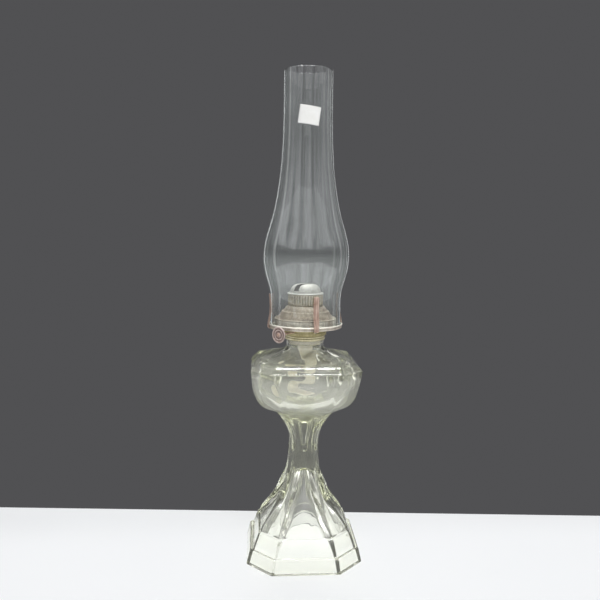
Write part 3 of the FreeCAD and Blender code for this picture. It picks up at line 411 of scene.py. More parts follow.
def pulled(poles, count):
    """Points on a clamped cubic spline that is pulled towards its poles."""
    spans = len(poles) - 3
    knots = [0] * 3 + list(range(spans + 1)) + [spans] * 3
    points = []
    for step in range(count + 1):
        t = min(spans * step / count, spans - 1e-9)
        k = int(t) + 3
        near = [Vector(poles[k - 3 + i]) for i in range(4)]
        for level in range(1, 4):
            for i in range(3, level - 1, -1):
                low = knots[k - 3 + i]
                share = (t - low) / (knots[i + 1 + k - level] - low)
                near[i] = near[i - 1].lerp(near[i], share)
        points.append(tuple(near[3]))
    return points


def spun(points, steps=96, closed=False):
    """A wire of (radius, height) pairs in millimetres, spun round the lamp's axis."""
    bm = bmesh.new()
    wire = [bm.verts.new((radius * MM, 0, height * MM)) for radius, height in points]
    after = wire[1:] + wire[:1] if closed else wire[1:]
    edges = [bm.edges.new(pair) for pair in zip(wire, after)]
    bmesh.ops.spin(bm, geom=wire + edges, axis=(0, 0, 1), cent=(0, 0, 0), angle=2 * math.pi,
                   steps=steps, use_merge=True)
    bmesh.ops.remove_doubles(bm, verts=bm.verts, dist=1e-6)
    bmesh.ops.recalc_face_normals(bm, faces=bm.faces)
    return bm


print("piece helpers ready")

# %% [markdown]
# ## The glass stand
# Foot, stem and font were pressed together as one piece.  Its outside has eight sides, with
# raised pillars that run down the skirt's corners and end in rounded toes, and a tongue pressed
# into each face under the bowl.  Its inside is two hollows: an open one under the foot and the
# round oil space.  All of that is one closed skin, so it starts as one grid.  Each row of the grid
# becomes a ring at some height, from the roof of the foot's hollow, down and round the rim, up the
# outside, over the neck's lip and down into the font.
#
# Rings that stand a millimetre apart keep an edge crisp, such as the plinth's top and the bowl's
# bevel, and rings that stand far apart leave a smooth sweep between them.

# %% The stand's rings
def through(rows, steps):
    """Values that pass smoothly through a list of rows, with so many steps for each gap."""
    found = []
    for i in range(len(rows) - 1):
        before, start, end = rows[max(i - 1, 0)], rows[i], rows[i + 1]
        after = rows[min(i + 2, len(rows) - 1)]
        gap = end[0] - start[0]
        for step in range(steps):
            s = step / steps
            row = []
            for a, b, c, d in zip(before, start, end, after):
                lead = (c - a) / max(end[0] - before[0], 1e-9) * gap
                trail = (d - b) / max(after[0] - start[0], 1e-9) * gap
                row.append((2 * s ** 3 - 3 * s ** 2 + 1) * b + (s ** 3 - 2 * s ** 2 + s) * lead
                           + (3 * s ** 2 - 2 * s ** 3) * c + (s ** 3 - s ** 2) * trail)
            found.append(tuple(row))
    found.append(rows[-1])
    return found


# Rings are (height, half width, corner cut as a share of it, roundness).  A ring with no
# roundness is an octagon, and one with a roundness of 1 is a circle.
hollow = [(0.8, 57.0, 0.43, 0.0), (3.0, 56.2, 0.43, 0.0), (13.1, 52.9, 0.43, 0.0),
          (24.0, 48.6, 0.45, 0.05), (36.0, 42.0, 0.48, 0.2), (47.0, 33.4, 0.53, 0.4),
          (58.0, 26.2, 0.55, 0.6), (71.0, 18.6, 0.56, 0.75), (84.0, 13.1, 0.57, 0.9),
          (92.0, 9.4, 0.58, 1.0), (95.6, 6.4, 0.58, 1.0)]
roof = [(97.0, 0.02, 0.58, 1.0), (96.9, 2.2, 0.58, 1.0), (96.5, 4.4, 0.58, 1.0)]
rim = [(0.15, 57.8, 0.425, 0.0), (0.0, 58.8, 0.42, 0.0), (0.0, 61.3, 0.418, 0.0),
       (0.3, 62.1, 0.417, 0.0), (1.0, 62.45, 0.4145, 0.0)]
plinth = [(3.0, 62.0, 0.4135, 0.0), (8.0, 60.8, 0.412, 0.0), (12.6, 59.8, 0.411, 0.0),
          (13.9, 59.5, 0.410, 0.0), (15.0, 59.0, 0.4095, 0.0), (15.9, 58.2, 0.409, 0.0),
          (16.2, 57.3, 0.407, 0.0), (15.8, 56.5, 0.405, 0.0), (15.7, 55.7, 0.404, 0.0),
          (16.2, 55.0, 0.403, 0.0), (17.3, 54.8, 0.403, 0.0), (18.5, 54.7, 0.403, 0.0)]
band = [(19.5, 54.4, 0.403, 0.0), (26.0, 52.2, 0.40, 0.0), (31.0, 50.3, 0.40, 0.0),
        (32.2, 49.7, 0.40, 0.0), (32.8, 49.0, 0.40, 0.0), (33.0, 48.0, 0.40, 0.0),
        (33.3, 47.2, 0.40, 0.0), (34.2, 46.8, 0.40, 0.0)]
skirt = [(35.2, 46.4, 0.40, 0.0), (39.0, 44.2, 0.40, 0.0), (46.0, 39.4, 0.40, 0.0),
         (58.0, 31.5, 0.40, 0.0),
         (70.0, 25.6, 0.405, 0.0), (84.0, 20.7, 0.41, 0.0), (96.0, 17.9, 0.415, 0.0),
         (108.0, 16.4, 0.42, 0.0), (116.0, 15.85, 0.42, 0.0), (118.5, 15.75, 0.42, 0.0),
         (121.0, 15.65, 0.42, 0.0), (124.0, 15.6, 0.42, 0.0), (128.0, 15.65, 0.42, 0.0),
         (134.0, 16.2, 0.42, 0.0), (141.0, 17.9, 0.425, 0.0), (148.0, 20.8, 0.43, 0.0),
         (156.0, 25.6, 0.44, 0.0), (163.5, 31.0, 0.45, 0.0)]
bowl = [(164.6, 32.8, 0.45, 0.0), (165.2, 35.0, 0.45, 0.0), (166.6, 38.8, 0.45, 0.0),
        (169.0, 43.8, 0.44, 0.15), (172.4, 49.0, 0.43, 0.35), (177.0, 53.2, 0.41, 0.5),
        (182.5, 56.0, 0.40, 0.55), (189.0, 57.6, 0.39, 0.5), (196.0, 58.3, 0.38, 0.35),
        (204.0, 58.5, 0.375, 0.15), (210.4, 58.8, 0.374, 0.03)]
bevel = [(211.9, 58.7, 0.374, 0.0), (212.9, 58.2, 0.37, 0.0), (214.0, 57.2, 0.362, 0.0),
         (215.8, 55.2, 0.35, 0.0), (217.4, 53.5, 0.34, 0.0), (218.4, 52.6, 0.335, 0.0),
         (220.2, 51.0, 0.33, 0.0), (220.7, 50.2, 0.328, 0.0), (220.9, 48.8, 0.33, 0.0)]
shoulder = [(221.9, 45.0, 0.36, 0.0), (224.0, 38.6, 0.42, 0.05), (226.6, 31.4, 0.48, 0.2),
            (229.0, 25.6, 0.54, 0.6), (231.2, 22.0, 0.57, 0.9), (233.5, 20.7, 0.586, 1.0),
            (238.0, 20.55, 0.586, 1.0), (242.6, 20.5, 0.586, 1.0)]
lip = [(243.8, 20.2, 0.586, 1.0), (244.15, 19.4, 0.586, 1.0), (244.15, 18.5, 0.586, 1.0),
       (243.7, 17.8, 0.586, 1.0), (242.6, 17.5, 0.586, 1.0), (238.0, 17.5, 0.586, 1.0)]
oil_space = [(height, radius, 0.586, 1.0) for radius, height in pulled(
    [(17.5, 232.5), (17.5, 227.1), (25.5, 223.0), (41.4, 217.9), (53.4, 213.0), (54.9, 194.5),
     (46.5, 175.5), (28.0, 168.5), (0.02, 168.5)], 18)]
rings = (roof + through(hollow, 2)[::-1] + rim + plinth + band + through(skirt, 3)
         + through(bowl, 2) + bevel + through(shoulder, 2) + lip + oil_space)
print(len(rings), "rings, highest at", max(row[0] for row in rings), "mm")

# %% [markdown]
# ## Pillars, toes and tongues
# Each ring is an octagon: four wide faces and four narrow ones.  Columns of the grid crowd near
# the corners, where the pillars are, so that the pillars' edges stay crisp without a dense mesh.
# A pillar is pushed out from the corner in a half-ellipse, and its toe fades in over a few rings.
# Between the pillars the skirt's faces are scooped hollow.  Higher up, the same columns close in
# on the middle of each face and draw the tongue: a groove that ends below in a round U.

# %% The stand's skin
PER_SIDE = 18
TOE, TOE_LENGTH, PILLAR_FADE, PILLAR_END = 33.5, 9.0, 74.0, 94.0
PILLAR_SHARE, PILLAR_RISE = 0.38, 2.3
TONGUE_LOW, TONGUE_HIGH = 118.0, 160.0
TONGUE_DEPTH, TONGUE_SLOPE = 2.6, 0.3
SCOOP_DEPTH = 2.6


def eased(value, low, high):
    """0 below low, 1 above high, and smooth between."""
    s = min(max((value - low) / (high - low), 0.0), 1.0)
    return s * s * (3 - 2 * s)


def corners_of(half, cut):
    """The eight corners, counter-clockwise from the one at the right end of the front face."""
    inner = half * (1 - cut)
    return [Vector(p) for p in ((inner, -half), (half, -inner), (half, inner), (inner, half),
                                (-inner, half), (-half, inner), (-half, -inner), (-inner, -half))]


def pillar(height, outside):
    """How far out a pillar stands at a level of the skirt, as a share of its full rise."""
    if not outside or height < TOE or height > PILLAR_END:
        return 0.0
    toe = min((height - TOE) / TOE_LENGTH, 1.0)
    return math.sqrt(1 - (1 - toe) ** 2) * (1 - eased(height, PILLAR_FADE, PILLAR_END))


def tongue_at(height):
    """Share of a face's length from its end to the tongue, and the tongue's share of depth."""
    round_end = min(max((height - TONGUE_LOW) / 3.2, 0.0), 1.0)
    flare = 0.21 + 0.08 * eased(height, TONGUE_LOW + 8, 142.0)
    reach = 0.5 - flare * max(math.sqrt(1 - (1 - round_end) ** 2), 0.35)
    fade = 1 - eased(height, 152.0, TONGUE_HIGH)
    return reach, eased(height, TONGUE_LOW - 0.2, TONGUE_LOW + 1.0) * fade


def ring_point(row, outside, side, column):
    """One point of the skin, in metres.  reach is where the pillar or the tongue's side ends."""
    height, half, cut, roundness = row
    corners = corners_of(half, cut)
    start, end = corners[side], corners[(side + 1) % 8]
    length = (end - start).length
    reach = PILLAR_SHARE * min(half * cut * math.sqrt(2), length)
    tongue = 0.0
    if outside and TONGUE_LOW - 4 < height < TONGUE_HIGH + 4:
        share, tongue = tongue_at(height)
        reach = length * share
    mirrored = column > PER_SIDE // 2
    near = PER_SIDE - column if mirrored else column
    rest = length / 2 - reach
    stops = [0.0, min(0.9, reach * 0.2), reach * 0.42, reach * 0.74, reach, reach + rest * 0.12,
             reach + rest * 0.32, reach + rest * 0.56, reach + rest * 0.78, length / 2]
    along = length - stops[near] if mirrored else stops[near]
    spot = start.lerp(end, along / max(length, 1e-9))
    corner = end if mirrored else start
    face = (start + end).normalized() if half > 1 else Vector((0, 0))
    rise = pillar(height, outside)
    scoop = eased(height, 42.0, 74.0) * (1 - eased(height, 88.0, 112.0)) if outside else 0.0
    if stops[near] > reach:
        share = (stops[near] - reach) / rest
        spot -= face * TONGUE_DEPTH * tongue * min(share / TONGUE_SLOPE, 1.0)
        spot -= face * SCOOP_DEPTH * scoop * (1 - (1 - share) ** 2)
    elif rise:
        swell = math.sqrt(max(1 - (stops[near] / reach) ** 2, 0))
        spot += corner.normalized() * PILLAR_RISE * rise * swell
    turn = 2 * math.pi * (side + column / PER_SIDE) / 8 - 3 * math.pi / 8
    ring = Vector((math.cos(turn), math.sin(turn))) * half
    return Vector((*(spot.lerp(ring, roundness) * MM), height * MM))


rim_rings_under = 3
outside_from = len(roof) + len(through(hollow, 2)) + rim_rings_under
outside_to = len(rings) - len(lip) - len(oil_space)
bm = bmesh.new()
bmesh.ops.create_grid(bm, x_segments=8 * PER_SIDE, y_segments=len(rings) - 1, size=1.0)
for vertex in bm.verts:
    column = round((vertex.co.x + 1) / 2 * 8 * PER_SIDE)
    level = round((vertex.co.y + 1) / 2 * (len(rings) - 1))
    side, step = divmod(column % (8 * PER_SIDE), PER_SIDE)
    outside = outside_from <= level < outside_to
    vertex.co = ring_point(rings[level], outside, side, step)
bmesh.ops.remove_doubles(bm, verts=bm.verts, dist=2e-5)
bmesh.ops.holes_fill(bm, edges=[e for e in bm.edges if e.is_boundary], sides=0)
bmesh.ops.recalc_face_normals(bm, faces=bm.faces)
stand = made("pressed_stand", bm, "stand", "stand_glass", stand_glass, ["glass_stand"])
subdivide(stand)

# %% [markdown]
# ## The chimney
# The chimney is blown glass, spun from one closed outline: straight foot, bulge, long neck, and a
# mouth whose edge was melted smooth.  The same spline poles shape its outside and its inside, and
# heights are counted from the chimney's own foot.

# %% The chimney
WALL = 2.1
side_poles = [(38.3, 26.0), (38.3, 34.0), (40.32, 43.68), (45.38, 57.72), (47.5, 78.0),
              (44.42, 95.92), (37.49, 116.4), (32.1, 142.0), (28.02, 173.8), (26.1, 212.0),
              (26.1, 269.3)]
inner_poles = [(radius - WALL, height) for radius, height in side_poles]
outline = [(37.9, 0.15), (38.2, 0.6), (38.3, 1.6), (38.3, 13.0)]
outline += pulled(side_poles, 56)[:-1]
outline += [(26.1, 268.4), (26.0, 268.95), (25.5, 269.25), (24.6, 269.25), (24.1, 268.95),
            (24.0, 268.4)]
outline += pulled(inner_poles, 56)[:-1][::-1]
outline += [(36.2, 13.0), (36.2, 1.6), (36.3, 0.6), (36.6, 0.15)]
bm = spun([(radius, CHIMNEY_LOW + height) for radius, height in outline], 96, closed=True)
made("blown_chimney", bm, "chimney", "chimney_glass", chimney_glass, ["chimney"])

# %% [markdown]
# ## Sheet brass: the collar
# The burner's parts are stamped from thin sheet and rolled at their edges.  The collar shows the
# way: the sheet is spun as one open line, a bevel rounds each bend as a press tool would, and
# Solidify gives it its thickness.

# %% The collar
collar_line = [(16.3, COLLAR_LOW), (16.3, COLLAR_TOP - 0.4), (16.9, COLLAR_TOP - 0.02),
               (20.6, COLLAR_TOP - 0.02), (21.5, COLLAR_TOP - 0.5), (21.9, COLLAR_TOP - 1.4),
               (21.3, COLLAR_TOP - 1.9), (21.3, COLLAR_TOP - 2.4), (21.95, COLLAR_TOP - 3.0),
               (21.95, COLLAR_TOP - 4.2), (21.6, COLLAR_TOP - 4.85)]
collar = made("brass_collar", spun(collar_line), "stand", "collar_brass", collar_brass, ["collar"],
              dirt_wear_and_painted_light=2.0)
soften(collar, 0.35)
thicken(collar, 0.6)
print("collar from", round(COLLAR_LOW, 1), "to", round(COLLAR_TOP, 1), "mm")

# %% [markdown]
# ## The gallery
# The gallery holds the chimney.  From outside in: a short skirt, a rolled bead, a floor for the
# chimney's foot, and an upstand whose top the cone fits over.

# %% The gallery
floor_z = SCREEN_LOW
gallery_line = [(39.7, GALLERY_LOW), (39.78, GALLERY_LOW + 0.5), (39.75, floor_z + 0.7),
                (40.1, floor_z + 1.25), (40.55, floor_z + 1.75), (40.45, floor_z + 2.35),
                (39.9, floor_z + 2.62), (39.35, floor_z + 2.35), (39.2, floor_z + 1.6),
                (39.15, floor_z + 0.3), (38.8, floor_z), (34.0, floor_z), (33.4, floor_z + 0.5),
                (33.3, floor_z + 5.6), (33.3, RIDGE_TOP)]
gallery = made("rolled_gallery", spun(gallery_line, 128), "burner", "gallery_brass", gallery_brass,
               ["gallery"], turn=True, dirt_wear_and_painted_light=2.0)
thicken(gallery, 0.5, 0.0)
soften(gallery, 0.15)

# %% [markdown]
# ## The cone over the wick tube
# Two stepped tiers lead up to a ribbed band and a slotted dome.  The tiers are smooth, so their
# line follows a spline between crisp steps.

# %% The cone's tiers
flange = CONE_LOW + 6.5
tiers = [(32.5, CONE_LOW), (32.5, flange - 0.3), (33.0, flange + 0.1), (33.6, flange + 0.35),
         (33.75, flange + 0.95), (33.3, flange + 1.4), (31.9, flange + 1.5)]
tiers += pulled([(31.2, flange + 1.7), (29.6, flange + 2.3), (28.2, flange + 4.4),
                 (26.7, flange + 6.4), (26.0, flange + 8.1)], 8)
tiers += [(25.7, flange + 8.7), (25.2, flange + 9.0)]
tiers += pulled([(24.7, flange + 9.2), (23.1, flange + 9.9), (22.2, flange + 12.3),
                 (20.6, flange + 13.9), (19.1, CONE_TOP)], 8)
cone = made("stepped_cone", spun(tiers, 128), "cone", "gallery_brass", tier_brass,
            ["cone_base"], turn=True, dirt_wear_and_painted_light=3.0)
thicken(cone, 0.5)
soften(cone, 0.2)

# %% [markdown]
# ## The ribbed band
# Forty upright slots let air reach the flame, and the metal between them stands out as ribs.  The
# band is spun with four columns to each slot, the slots' faces are deleted, and the columns
# between are moved out a little.

# %% The band
BAND_RADIUS, COLUMNS, RIB_RISE = 18.75, 40 * 4, 0.34
SLOT_FROM, SLOT_TO = 0.2, 0.7
tall = BAND_TOP - BAND_LOW
levels = [0.0, 0.06, 0.14, SLOT_FROM, 0.45, SLOT_TO, 0.78, 0.88, 0.94, 1.0]
bm = spun([(BAND_RADIUS, BAND_LOW + tall * level) for level in levels], COLUMNS)


def columns_round(place, columns):
    """How many columns round the axis a place lies, from the +X side."""
    return math.atan2(place.y, place.x) / (2 * math.pi) * columns


gone = []
for face in bm.faces:
    middle = face.calc_center_median()
    column = int(columns_round(middle, COLUMNS) + COLUMNS) % 4
    share = (middle.z / MM - BAND_LOW) / tall
    if column == 0 and SLOT_FROM < share < SLOT_TO:
        gone.append(face)
for vertex in bm.verts:
    share = (vertex.co.z / MM - BAND_LOW) / tall
    if round(columns_round(vertex.co, COLUMNS)) % 4 in (2, 3) and 0.1 < share < 0.9:
        vertex.co += Vector((vertex.co.x, vertex.co.y, 0)).normalized() * RIB_RISE * MM
bmesh.ops.delete(bm, geom=gone, context="FACES")
band = made("ribbed_band", bm, "cone", "gallery_brass", band_brass, ["cone_band"], turn=True,
            dirt_wear_and_painted_light=3.0)
thicken(band, 0.4)

# %% [markdown]
# ## The dome
# The dome spreads the flame through one long slot, which lies along the wick.  It is spun whole,
# cut along four planes, and the faces between the cuts are removed.

# %% The dome
dome_line = [(18.5, DOME_LOW), (19.8, DOME_LOW + 0.05), (19.88, DOME_LOW + 0.6),
             (19.3, DOME_LOW + 1.0), (17.6, DOME_LOW + 1.15), (17.0, DOME_LOW + 1.7)]
dome_line += pulled([(16.7, DOME_LOW + 2.2), (16.5, DOME_LOW + 4.4), (14.8, DOME_LOW + 8.2),
                     (9.8, DOME_TOP), (4.0, DOME_TOP), (0.0, DOME_TOP)], 16)
bm = spun(dome_line, 128)
HALF_LONG, HALF_WIDE, SLOT_FLOOR = 16.35, 3.1, DOME_LOW + 3.0
for axis, reach in ((Vector((1, 0, 0)), HALF_LONG), (Vector((0, 1, 0)), HALF_WIDE)):
    for sign in (-1, 1):
        bmesh.ops.bisect_plane(bm, geom=bm.verts[:] + bm.edges[:] + bm.faces[:], dist=1e-7,
                               plane_co=axis * sign * reach * MM, plane_no=axis)
gone = []
for face in bm.faces:
    middle = face.calc_center_median()
    if (abs(middle.x) < HALF_LONG * MM and abs(middle.y) < HALF_WIDE * MM
            and middle.z > SLOT_FLOOR * MM):
        gone.append(face)
bmesh.ops.delete(bm, geom=gone, context="FACES")
dome = made("slotted_dome", bm, "cone", "gallery_brass", dome_brass, ["cone_dome"], turn=True,
            dirt_wear_and_painted_light=2.0)
thicken(dome, 0.5)
soften(dome, 0.12)

# %% [markdown]
# ## The prongs
# Four spring strips are riveted under the gallery, bend round its rim and lean on the chimney's
# foot.  A strip is a short edge that is extruded along its own side view, so every prong is the
# same strip turned to its own place.  A shallow crease down its middle stiffens it.

# %% Prongs
prong_low = span("prong_1")[0]
PRONG_WIDE, CREASE, TIP_FROM, TIP_DROP = 6.2, 0.22, 35.6, 2.4
side_view = [(34.2, 0.35), (37.2, 0.35), (39.2, 0.35)]
side_view += pulled([(40.3, 0.35), (41.35, 0.5), (41.6, 1.8), (41.5, 4.9), (39.9, 13.0),
                     (38.98, 18.0), (38.95, 23.6)], 14)
side_view += [(39.2, 28.0), (39.6, 33.0), (40.05, 36.6), (40.2, 37.85)]
for number in range(1, 5):
    pivot = Vector(joints[f"prong_{number}_spring"]["pos_m"])
    bm = bmesh.new()
    across = [-1.0, -0.86, -0.3, 0.0, 0.3, 0.86, 1.0]
    edge = [bm.verts.new((side_view[0][0] * MM, share * PRONG_WIDE / 2 * MM,
                          (prong_low + side_view[0][1]) * MM)) for share in across]
    strip = [bm.edges.new(pair) for pair in zip(edge, edge[1:])]
    for (radius, height), (was_radius, was_height) in zip(side_view[1:], side_view):
        grown = bmesh.ops.extrude_edge_only(bm, edges=strip)["geom"]
        moved = [item for item in grown if isinstance(item, bmesh.types.BMVert)]
        strip = [item for item in grown if isinstance(item, bmesh.types.BMEdge)
                 and all(v in moved for v in item.verts)]
        step = Vector((radius - was_radius, 0, height - was_height)) * MM
        bmesh.ops.translate(bm, verts=moved, vec=step)
    for vertex in bm.verts:
        share = vertex.co.y / (PRONG_WIDE / 2 * MM)
        rise = vertex.co.z / MM - prong_low
        vertex.co.y *= 0.84 + 0.16 * eased(rise, 2.0, 8.0)
        rounding = 0.62 * eased(rise, TIP_FROM, TIP_FROM + 2.2) * abs(share) ** 2
        vertex.co.z -= rounding * TIP_DROP * MM
        if abs(share) < 0.2:
            vertex.co.x += CREASE * MM * eased(rise, 6.0, 10.0)
    bmesh.ops.recalc_face_normals(bm, faces=bm.faces)
    bmesh.ops.rotate(bm, verts=bm.verts, cent=(0, 0, 0),
                     matrix=Matrix.Rotation(math.atan2(pivot.y, pivot.x), 3, "Z"))
    strip_piece = made(f"spring_prong_{number}", bm, f"prong_{number}", "copper", copper,
                       [f"prong_{number}"], dirt_wear_and_painted_light=2.0)
    thicken(strip_piece, 0.6, 0.0)
    subdivide(strip_piece)

# %% [markdown]
# ## The thumb wheel
# The wheel is a pressed disc with a raised rim, a ring and a hub, and its edge is notched for the
# thumb.  It is spun round the shaft's own axis, so the profile is written as (radius, distance
# along the shaft), and the notches come from moving every fourth column at the rim inwards.

# %% Thumb wheel
wheel_low, wheel_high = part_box("thumb_wheel")
wheel_middle = (Vector(wheel_low) + Vector(wheel_high)) / 2
away = (wheel_middle - SHAFT_PLACE).dot(SHAFT_WAY)
WHEEL_COLUMNS, RIM_FROM, NOTCH_DEPTH = 40 * 4, 7.9, 0.42
profile = [(0.0, 1.75), (0.8, 1.7), (1.45, 1.35), (1.6, 0.95), (2.2, 0.9), (2.6, 0.5), (3.0, 0.15),
           (4.2, 0.12), (4.7, 0.5), (5.3, 0.55), (5.8, 0.15), (6.5, 0.12), (7.0, 0.55),
           (7.5, 0.85), (8.1, 0.9), (8.5, 0.6), (8.58, 0.0), (8.5, -0.6), (8.1, -0.88),
           (7.4, -0.9), (6.9, -0.6), (2.6, -0.5), (2.2, -0.88), (1.3, -0.9)]
bm = spun(profile, WHEEL_COLUMNS)
for vertex in bm.verts:
    reach = Vector((vertex.co.x, vertex.co.y, 0))
    if reach.length > RIM_FROM * MM and round(columns_round(reach, WHEEL_COLUMNS)) % 4 == 0:
        vertex.co -= reach.normalized() * NOTCH_DEPTH * MM
facing = SHAFT_WAY.to_track_quat("Z", "Y").to_matrix()
bmesh.ops.rotate(bm, verts=bm.verts, cent=(0, 0, 0), matrix=facing)
bmesh.ops.translate(bm, verts=bm.verts, vec=SHAFT_PLACE + SHAFT_WAY * away)
bmesh.ops.holes_fill(bm, edges=[e for e in bm.edges if e.is_boundary], sides=0)
bmesh.ops.recalc_face_normals(bm, faces=bm.faces)
made("thumb_disc", bm, "feed", "copper", wheel_copper, ["thumb_wheel"], dirt_wear_and_painted_light=2.5)
print("thumb wheel", round(away / MM, 1), "mm out along the shaft")

# %% [markdown]
# ## The wick
# The wick is a flat woven tape.  In the lamp its top rises and falls with the feed, and its tail
# lies folded in the font; here it is one ribbon, which rides on no body.  It is a grid whose long
# way follows a spline, and its UV map runs across and along the tape, so the weave follows every
# fold.

# %% Cotton finish
THREADS_ACROSS, THREADS_ALONG = 132.0, 1250.0
CHAR_LOW, CHAR_HIGH = 0.2905, 0.2965


def cotton():
    """Plain weave on the tape's own UV map, charred at the top."""
    finish = Finish("wick_cotton")
    tape = finish.wire("ShaderNodeTexCoord", "UV")
    parts = finish.node("ShaderNodeSeparateXYZ", None, {0: tape})
    across, along = Wire(finish, parts.outputs[0]), Wire(finish, parts.outputs[1])
    warp = finish.wire("ShaderNodeMath", 0, {"operation": "SINE"}, {0: across * THREADS_ACROSS})
    weft = finish.wire("ShaderNodeMath", 0, {"operation": "SINE"}, {0: along * THREADS_ALONG})
    weave = warp * weft * 0.5 + 0.5
    soft = finish.cloud(140.0, 5.0)
    char = finish.smooth(finish.along("Z") + 0.004 * soft, CHAR_LOW, CHAR_HIGH)
    clean = finish.tones(soft * 0.75 + weave * 0.25, [(0.3, (0.84, 0.77, 0.60)),
                                                      (0.5, (0.97, 0.93, 0.80)),
                                                      (0.8, (0.99, 0.97, 0.90))])
    colour = finish.blended(char, clean, (0.035, 0.025, 0.02, 1.0))
    skin = finish.node("ShaderNodeBsdfPrincipled", None, {
        "Base Color": colour, "Roughness": 0.9, "Sheen Weight": 0.25,
        "Normal": finish.bump(weave + soft * 0.5, 0.00035)})
    return finish.surface(skin)


wick_cotton = cotton()
print("cotton ready")

# %% [markdown]
# ## Folding the tape
# Seen from its edge, the tape drops straight from its tube, leans over, folds back on itself and
# ends near the font's floor.  That side view is a spline, and the grid's rows are carried along
# it.  The layers are tilted across their width, and ripple a little where they bend.

# %% The wick's ribbon
TAPE_HALF, TAPE_THICK, FOLD_TILT = 12.7, 2.0, 4.5
fold_high, fold_low = TAIL_LOW + 24.0, TAIL_LOW + 1.5
line = [(0.0, WICK_TOP), (0.0, WICK_TOP - 20.0), (0.0, WICK_TOP - 45.0), (0.0, WICK_LOW + 6.0),
        (4.0, TAIL_TOP - 4.0), (9.5, fold_high + 22.0), (11.5, fold_high + 10.0),
        (9.0, fold_high + 0.5), (-3.0, fold_high - 2.5), (-17.0, fold_high + 1.0),
        (-27.5, fold_high - 1.5), (-32.0, (fold_high + fold_low) / 2), (-28.0, fold_low + 1.0),
        (-16.0, fold_low + 0.2), (-4.0, fold_low + 0.8), (4.0, fold_low), (11.5, fold_low + 0.6)]
path = pulled(line, 110)
bm = bmesh.new()
bm.loops.layers.uv.new("tape")
bmesh.ops.create_grid(bm, x_segments=10, y_segments=len(path) - 1, size=1.0, calc_uvs=True)
for vertex in bm.verts:
    across = vertex.co.x
    level = (vertex.co.y + 1) / 2 * (len(path) - 1)
    depth, height = path[round(level)]
    bend = eased(fold_high + 22.0 - height, 0.0, 26.0)
    ripple = 0.5 * math.sin(level * 0.9) * across ** 2 * bend
    tilt = FOLD_TILT * across * (1 - eased(height, fold_high + 1.0, fold_high + 12.0))
    tilt *= 0.25 + 0.75 * eased(height, fold_low + 3.0, fold_high - 3.0)
    vertex.co = Vector((across * TAPE_HALF - 1.2 * bend * math.sin(level * 0.11), depth + ripple,
                        height + tilt)) * MM
bmesh.ops.recalc_face_normals(bm, faces=bm.faces)
wick = made("cotton_wick", bm, None, "wick_cotton", wick_cotton, ["wick", "wick_tail"], turn=True)
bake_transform(wick)
thicken(wick, TAPE_THICK, 0.0)
subdivide(wick)

# %% [markdown]
# ## The price label
# A blank paper sticker is stuck a little askew on the chimney's neck.  A grid is tilted and
# wrapped on the glass, and its free corners are lifted by a hair.

# %% The label
def paper():
    finish = Finish("label_paper")
    fibre = finish.cloud(1800.0, 6.0, (1.0, 1.0, 0.4))
    age = finish.cloud(60.0, 4.0)
    colour = finish.tones(age * 0.7 + fibre * 0.3, [(0.3, (0.70, 0.69, 0.66)),
                                                    (0.6, (0.82, 0.82, 0.81))])
    skin = finish.node("ShaderNodeBsdfPrincipled", None, {
        "Base Color": colour, "Roughness": 0.75 + 0.15 * fibre,
        "Normal": finish.bump(fibre, 0.00008)})
    return finish.surface(skin)


LABEL_RADIUS, LABEL_TURN, TILT = 26.75, math.radians(-91.0), math.radians(8)
wide_half, tall_half = 11.2, (LABEL_TOP - LABEL_LOW) / 2 - 1.6
bm = bmesh.new()
bmesh.ops.create_grid(bm, x_segments=16, y_segments=12, size=1.0)
for vertex in bm.verts:
    x, z = vertex.co.x * wide_half, vertex.co.y * tall_half
    side = x * math.cos(TILT) + z * math.sin(TILT)
    rise = z * math.cos(TILT) - x * math.sin(TILT)
    radius = LABEL_RADIUS + 0.25 * (abs(vertex.co.x) * abs(vertex.co.y)) ** 6
    turn = LABEL_TURN + side / radius
    vertex.co = Vector((radius * math.cos(turn), radius * math.sin(turn),
                        (LABEL_LOW + LABEL_TOP) / 2 + rise)) * MM
bmesh.ops.recalc_face_normals(bm, faces=bm.faces)
label = made("paper_label", bm, "chimney", "label_paper", paper(), ["price_label"])
thicken(label, 0.16, 0.0)
print("label", 2 * wide_half, "by", round(2 * tall_half, 1), "mm")

# %% [markdown]
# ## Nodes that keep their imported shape
# Plain turned or folded parts are right as they are.  Each gets the finish of its metal.

# %% Finishes for carried-over nodes
def cement():
    finish = Finish("cement")
    grain = finish.cloud(700.0, 6.0)
    skin = finish.node("ShaderNodeBsdfPrincipled", None, {
        "Base Color": finish.tones(grain, [(0.3, (0.52, 0.48, 0.38)), (0.7, (0.78, 0.74, 0.64))]),
        "Roughness": 0.85 + 0.1 * grain, "Normal": finish.bump(grain, 0.0002)})
    return finish.surface(skin)


kept = {"collar_cement": cement(), "burner_cup": cup_brass, "air_basket": cup_brass,
        "draft_screen": gallery_brass, "wick_tube": cup_brass, "feed_case": cup_brass,
        "feed_shaft": copper, "feed_wheels": copper, "shaft_sleeve": cup_brass,
        "vent_tube": cup_brass, "prong_rivets": gallery_brass}
for node, finish in kept.items():
    mesh = frame["nodes"][node].data
    mesh.materials.clear()
    mesh.materials.append(finish)
print("finished", len(kept), "packed nodes")

# %% [markdown]
# ## The table
# The lamp stands on a pale table whose far edge is close behind it.  The table also shines a
# little by itself, less towards its far edge, so that it stays pale without more light on the
# lamp.  That part is switched off for rays that have met a dull surface, and turned down for
# those that come through glass.

